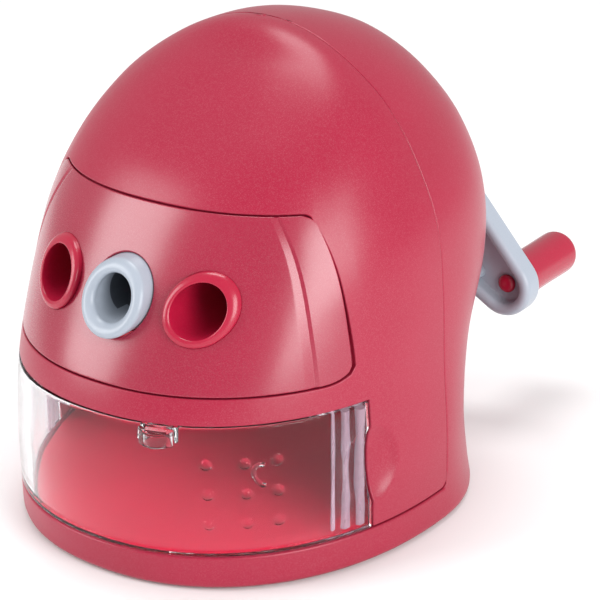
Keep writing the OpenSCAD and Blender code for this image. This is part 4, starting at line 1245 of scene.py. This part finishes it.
# %% Rubber
def foam_rubber(name, tone, dust_tone):
    """Matt rubber with pores: height = distance to the nearest cell centre."""
    material = bpy.data.materials.new(name)
    material.use_nodes = True
    nodes, links = material.node_tree.nodes, material.node_tree.links
    nodes.clear()

    place = nodes.new("ShaderNodeTexCoord")
    place.label = "where on the mat"
    pores = nodes.new("ShaderNodeTexVoronoi")
    pores.label = "open pores of the foam"
    pores.inputs["Scale"].default_value = 1600.0
    pore_bump = nodes.new("ShaderNodeBump")
    pore_bump.label = "depth of the pores"
    pore_bump.inputs["Strength"].default_value = 0.7
    pore_bump.inputs["Distance"].default_value = 0.00015
    dust = nodes.new("ShaderNodeTexNoise")
    dust.label = "dust from the table"
    dust.inputs["Scale"].default_value = 320.0
    dust.inputs["Detail"].default_value = 6.0
    dust_range = nodes.new("ShaderNodeMapRange")
    dust_range.label = "how dusty it is"
    dust_range.inputs["From Min"].default_value = 0.5
    dust_range.inputs["From Max"].default_value = 0.8
    dust_range.inputs["To Max"].default_value = 0.6
    mat_colour = nodes.new("ShaderNodeMix")
    mat_colour.label = "rubber and dust"
    mat_colour.data_type = "RGBA"
    mat_colour.inputs["A"].default_value = (*tone, 1)
    mat_colour.inputs["B"].default_value = (*dust_tone, 1)
    rubber = nodes.new("ShaderNodeBsdfPrincipled")
    rubber.label = "rubber surface"
    rubber.inputs["Roughness"].default_value = 0.85
    surface = nodes.new("ShaderNodeOutputMaterial")
    surface.label = "finish"

    links.new(place.outputs["Object"], pores.inputs["Vector"])
    links.new(pores.outputs["Distance"], pore_bump.inputs["Height"])
    links.new(pore_bump.outputs["Normal"], rubber.inputs["Normal"])
    links.new(place.outputs["Object"], dust.inputs["Vector"])
    links.new(dust.outputs["Fac"], dust_range.inputs["Value"])
    links.new(dust_range.outputs["Result"], mat_colour.inputs["Factor"])
    links.new(mat_colour.outputs["Result"], rubber.inputs["Base Color"])
    links.new(rubber.outputs["BSDF"], surface.inputs["Surface"])

    frames = {"pores": [pores, pore_bump], "dust": [dust, dust_range, mat_colour],
              "surface": [rubber, surface]}
    place.location = (-1100, 0)
    for row, (title, members) in enumerate(frames.items()):
        box = nodes.new("NodeFrame")
        box.label = title
        for column, node in enumerate(members):
            node.location = (-800 + 220*column, 300 - 330*row)
            node.parent = box
    return material


mat_rubber = foam_rubber("foam_rubber", (0.03, 0.03, 0.032), (0.16, 0.15, 0.14))
print("rubber:", mat_rubber.name)

# %% [markdown]
# ## What rides on what
# Each finished piece takes its material and its body, and stands for the plain solids that it
# covers. The solids that stay in view, mostly the mechanism, only get their materials.

# %% Pieces on their bodies
new_pieces = [
    (rear_shell, "housing", ["rear_shell"], shell_red, "shell"),
    (front_shell, "housing", ["front_shell"], shell_red, "shell"),
    (face_panel, "housing", ["face_panel"], panel_red, "panel"),
    (cups[0], "housing", ["pencil_cup_left"], cup_red_painted_light, "inner_plastic"),
    (cups[1], "housing", ["pencil_cup_right"], cup_red_painted_light, "inner_plastic"),
    (guide, "housing", ["guide_ring"], soft_grey, "grey_plastic"),
    (drawer, "drawer_unit", ["drawer"], drawer_clear, "clear_plastic"),
    (end_ribs, "drawer_unit", [], rib_painted_light, "clear_plastic"),
    (drawer_tray, "drawer_unit", [], tray_clear, "clear_plastic"),
    (crank_arm, "crank", ["crank_arm"], soft_grey, "grey_plastic"),
    (crank_knob, "knob", ["crank_knob"], cup_red_painted_light, "inner_plastic"),
    (knob_pin, "knob", ["knob_pin"], cup_red_painted_light, "inner_plastic")]
for piece, body, covered, material, slot_name in new_pieces:
    piece.data.materials.clear()
    piece.data.materials.append(material)
    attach(piece, body)
    if covered:
        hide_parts(*covered)
# Deeper than BORE_START mm behind the mouth the guide's bore gets a darker grey: painted shade for the
# deep hole.
BORE_R, BORE_START = 4.3, 5.5
guide.data.materials.append(bore_painted_shade)
centres = np.zeros(len(guide.data.polygons)*3)
guide.data.polygons.foreach_get("center", centres)
centres = centres.reshape(-1, 3)/MM
radius = np.hypot(centres[:, 0], centres[:, 2] - AXIS_Z)
deep = (radius < BORE_R) & (centres[:, 1] > GUIDE_MOUTH + BORE_START)
guide.data.polygons.foreach_set("material_index", deep.astype(int))

kept = {"chassis": chassis_red_painted_light, "base_plate": dark_grey, "foot_mat": mat_rubber,
        "base_screws": zinc_steel, "shell_screws": zinc_steel, "mech_frame": dark_grey,
        "frame_screws": zinc_steel, "ring_gear": gear_steel, "rear_bush": brass,
        "carrier": soft_grey, "crank_axle": zinc_steel, "axle_clip": zinc_steel,
        "cutter_pin": zinc_steel, "cutter": gear_steel, "cutter_pinion": gear_steel,
        "arm_screw": zinc_steel}
for node, material in kept.items():
    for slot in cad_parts[node].material_slots:
        slot.link = "OBJECT"
        slot.material = material
print(len(new_pieces), "new pieces,", len(kept), "solids with new materials")

# %% [markdown]
# ## Floor, lamps and camera
# The sharpener stands on a plain white sweep. A large soft box stands at the right and shows as
# a broad highlight on the flank of the dome, a second one at the front left gives the paler
# band, a third one high up behind lights the crown, and a pale sky fills the shadows. The
# camera looks down at about 23 degrees from 35 degrees to the right of the front, with a long
# lens.

# %% Floor
floor_mesh = bpy.data.meshes.new("floor")
corner = np.array([[-3, -3, 0], [3, -3, 0], [3, 3, 0], [-3, 3, 0]], float)
floor_mesh.from_pydata(corner.tolist(), [], [(0, 1, 2, 3)])
floor = bpy.data.objects.new("floor", floor_mesh)
bpy.context.scene.collection.objects.link(floor)
paper = bpy.data.materials.new("white_paper")
paper.use_nodes = True
nodes, links = paper.node_tree.nodes, paper.node_tree.links
nodes.clear()
floor_place = nodes.new("ShaderNodeTexCoord")
floor_place.label = "where on the sweep"
fibre = nodes.new("ShaderNodeTexNoise")
fibre.label = "fibres of the paper"
fibre.inputs["Scale"].default_value = 700.0
fibre_bump = nodes.new("ShaderNodeBump")
fibre_bump.label = "faint tooth of the paper"
fibre_bump.inputs["Strength"].default_value = 0.05
fibre_bump.inputs["Distance"].default_value = 0.0001
sheet = nodes.new("ShaderNodeBsdfPrincipled")
sheet.label = "white paper"
sheet.inputs["Base Color"].default_value = (0.93, 0.93, 0.93, 1)
sheet.inputs["Roughness"].default_value = 0.7
sheet.inputs["Specular IOR Level"].default_value = 0.2
paper_out = nodes.new("ShaderNodeOutputMaterial")
paper_out.label = "finish"
links.new(floor_place.outputs["Object"], fibre.inputs["Vector"])
links.new(fibre.outputs["Fac"], fibre_bump.inputs["Height"])
links.new(fibre_bump.outputs["Normal"], sheet.inputs["Normal"])
links.new(sheet.outputs["BSDF"], paper_out.inputs["Surface"])
floor_place.location = (-800, 0)
for row, (title, members) in enumerate({"tooth": [fibre, fibre_bump],
                                        "surface": [sheet, paper_out]}.items()):
    box = nodes.new("NodeFrame")
    box.label = title
    for column, node in enumerate(members):
        node.location = (-500 + 220*column, 300 - 330*row)
        node.parent = box
floor_mesh.materials.append(paper)

# %% Lamps and sky
AIM = (0.0, -0.01, 0.045)


def soft_box(name, turn, height, distance, size, power):
    """Rectangular lamp aimed at the object: turn degrees from the front towards +X, height degrees
    above the floor, distance in metres, power in watts."""
    lamp = bpy.data.lights.new(name, "AREA")
    lamp.shape = "RECTANGLE"
    lamp.size, lamp.size_y = size
    lamp.energy = power
    holder = bpy.data.objects.new(name, lamp)
    turn, height = math.radians(turn), math.radians(height)
    back = Vector((math.sin(turn)*math.cos(height), -math.cos(turn)*math.cos(height),
                   math.sin(height)))
    holder.location = Vector(AIM) + back*distance
    holder.rotation_euler = back.to_track_quat("Z", "Y").to_euler()
    bpy.context.scene.collection.objects.link(holder)
    return holder


soft_box("soft_box_right", 76, 17, 0.62, (0.34, 0.40), 3.2)
soft_box("soft_box_left", -44, 24, 0.70, (0.32, 0.48), 2.9)
soft_box("soft_box_top", 205, 74, 0.9, (0.46, 0.30), 3.2)
sky = bpy.data.worlds.new("pale_studio")
sky.use_nodes = True
sky.node_tree.nodes["Background"].inputs["Color"].default_value = (1.0, 1.0, 1.0, 1)
sky.node_tree.nodes["Background"].inputs["Strength"].default_value = 0.60
bpy.context.scene.world = sky
bpy.context.scene.view_settings.view_transform = "Standard"

# %% Camera
TARGET = Vector((0.022997, -0.0218, 0.047127))
STAND = Vector((0.212145, -0.294641, 0.187321))
lens = bpy.data.cameras.new("camera")
lens.lens, lens.sensor_width = 126.0, 36.0
lens.clip_start = 0.01
camera = bpy.data.objects.new("camera", lens)
camera.location = STAND
camera.rotation_euler = (STAND - TARGET).to_track_quat("Z", "Y").to_euler()
bpy.context.scene.collection.objects.link(camera)
bpy.context.scene.camera = camera
print("camera distance:", round((STAND - TARGET).length, 3), "m")
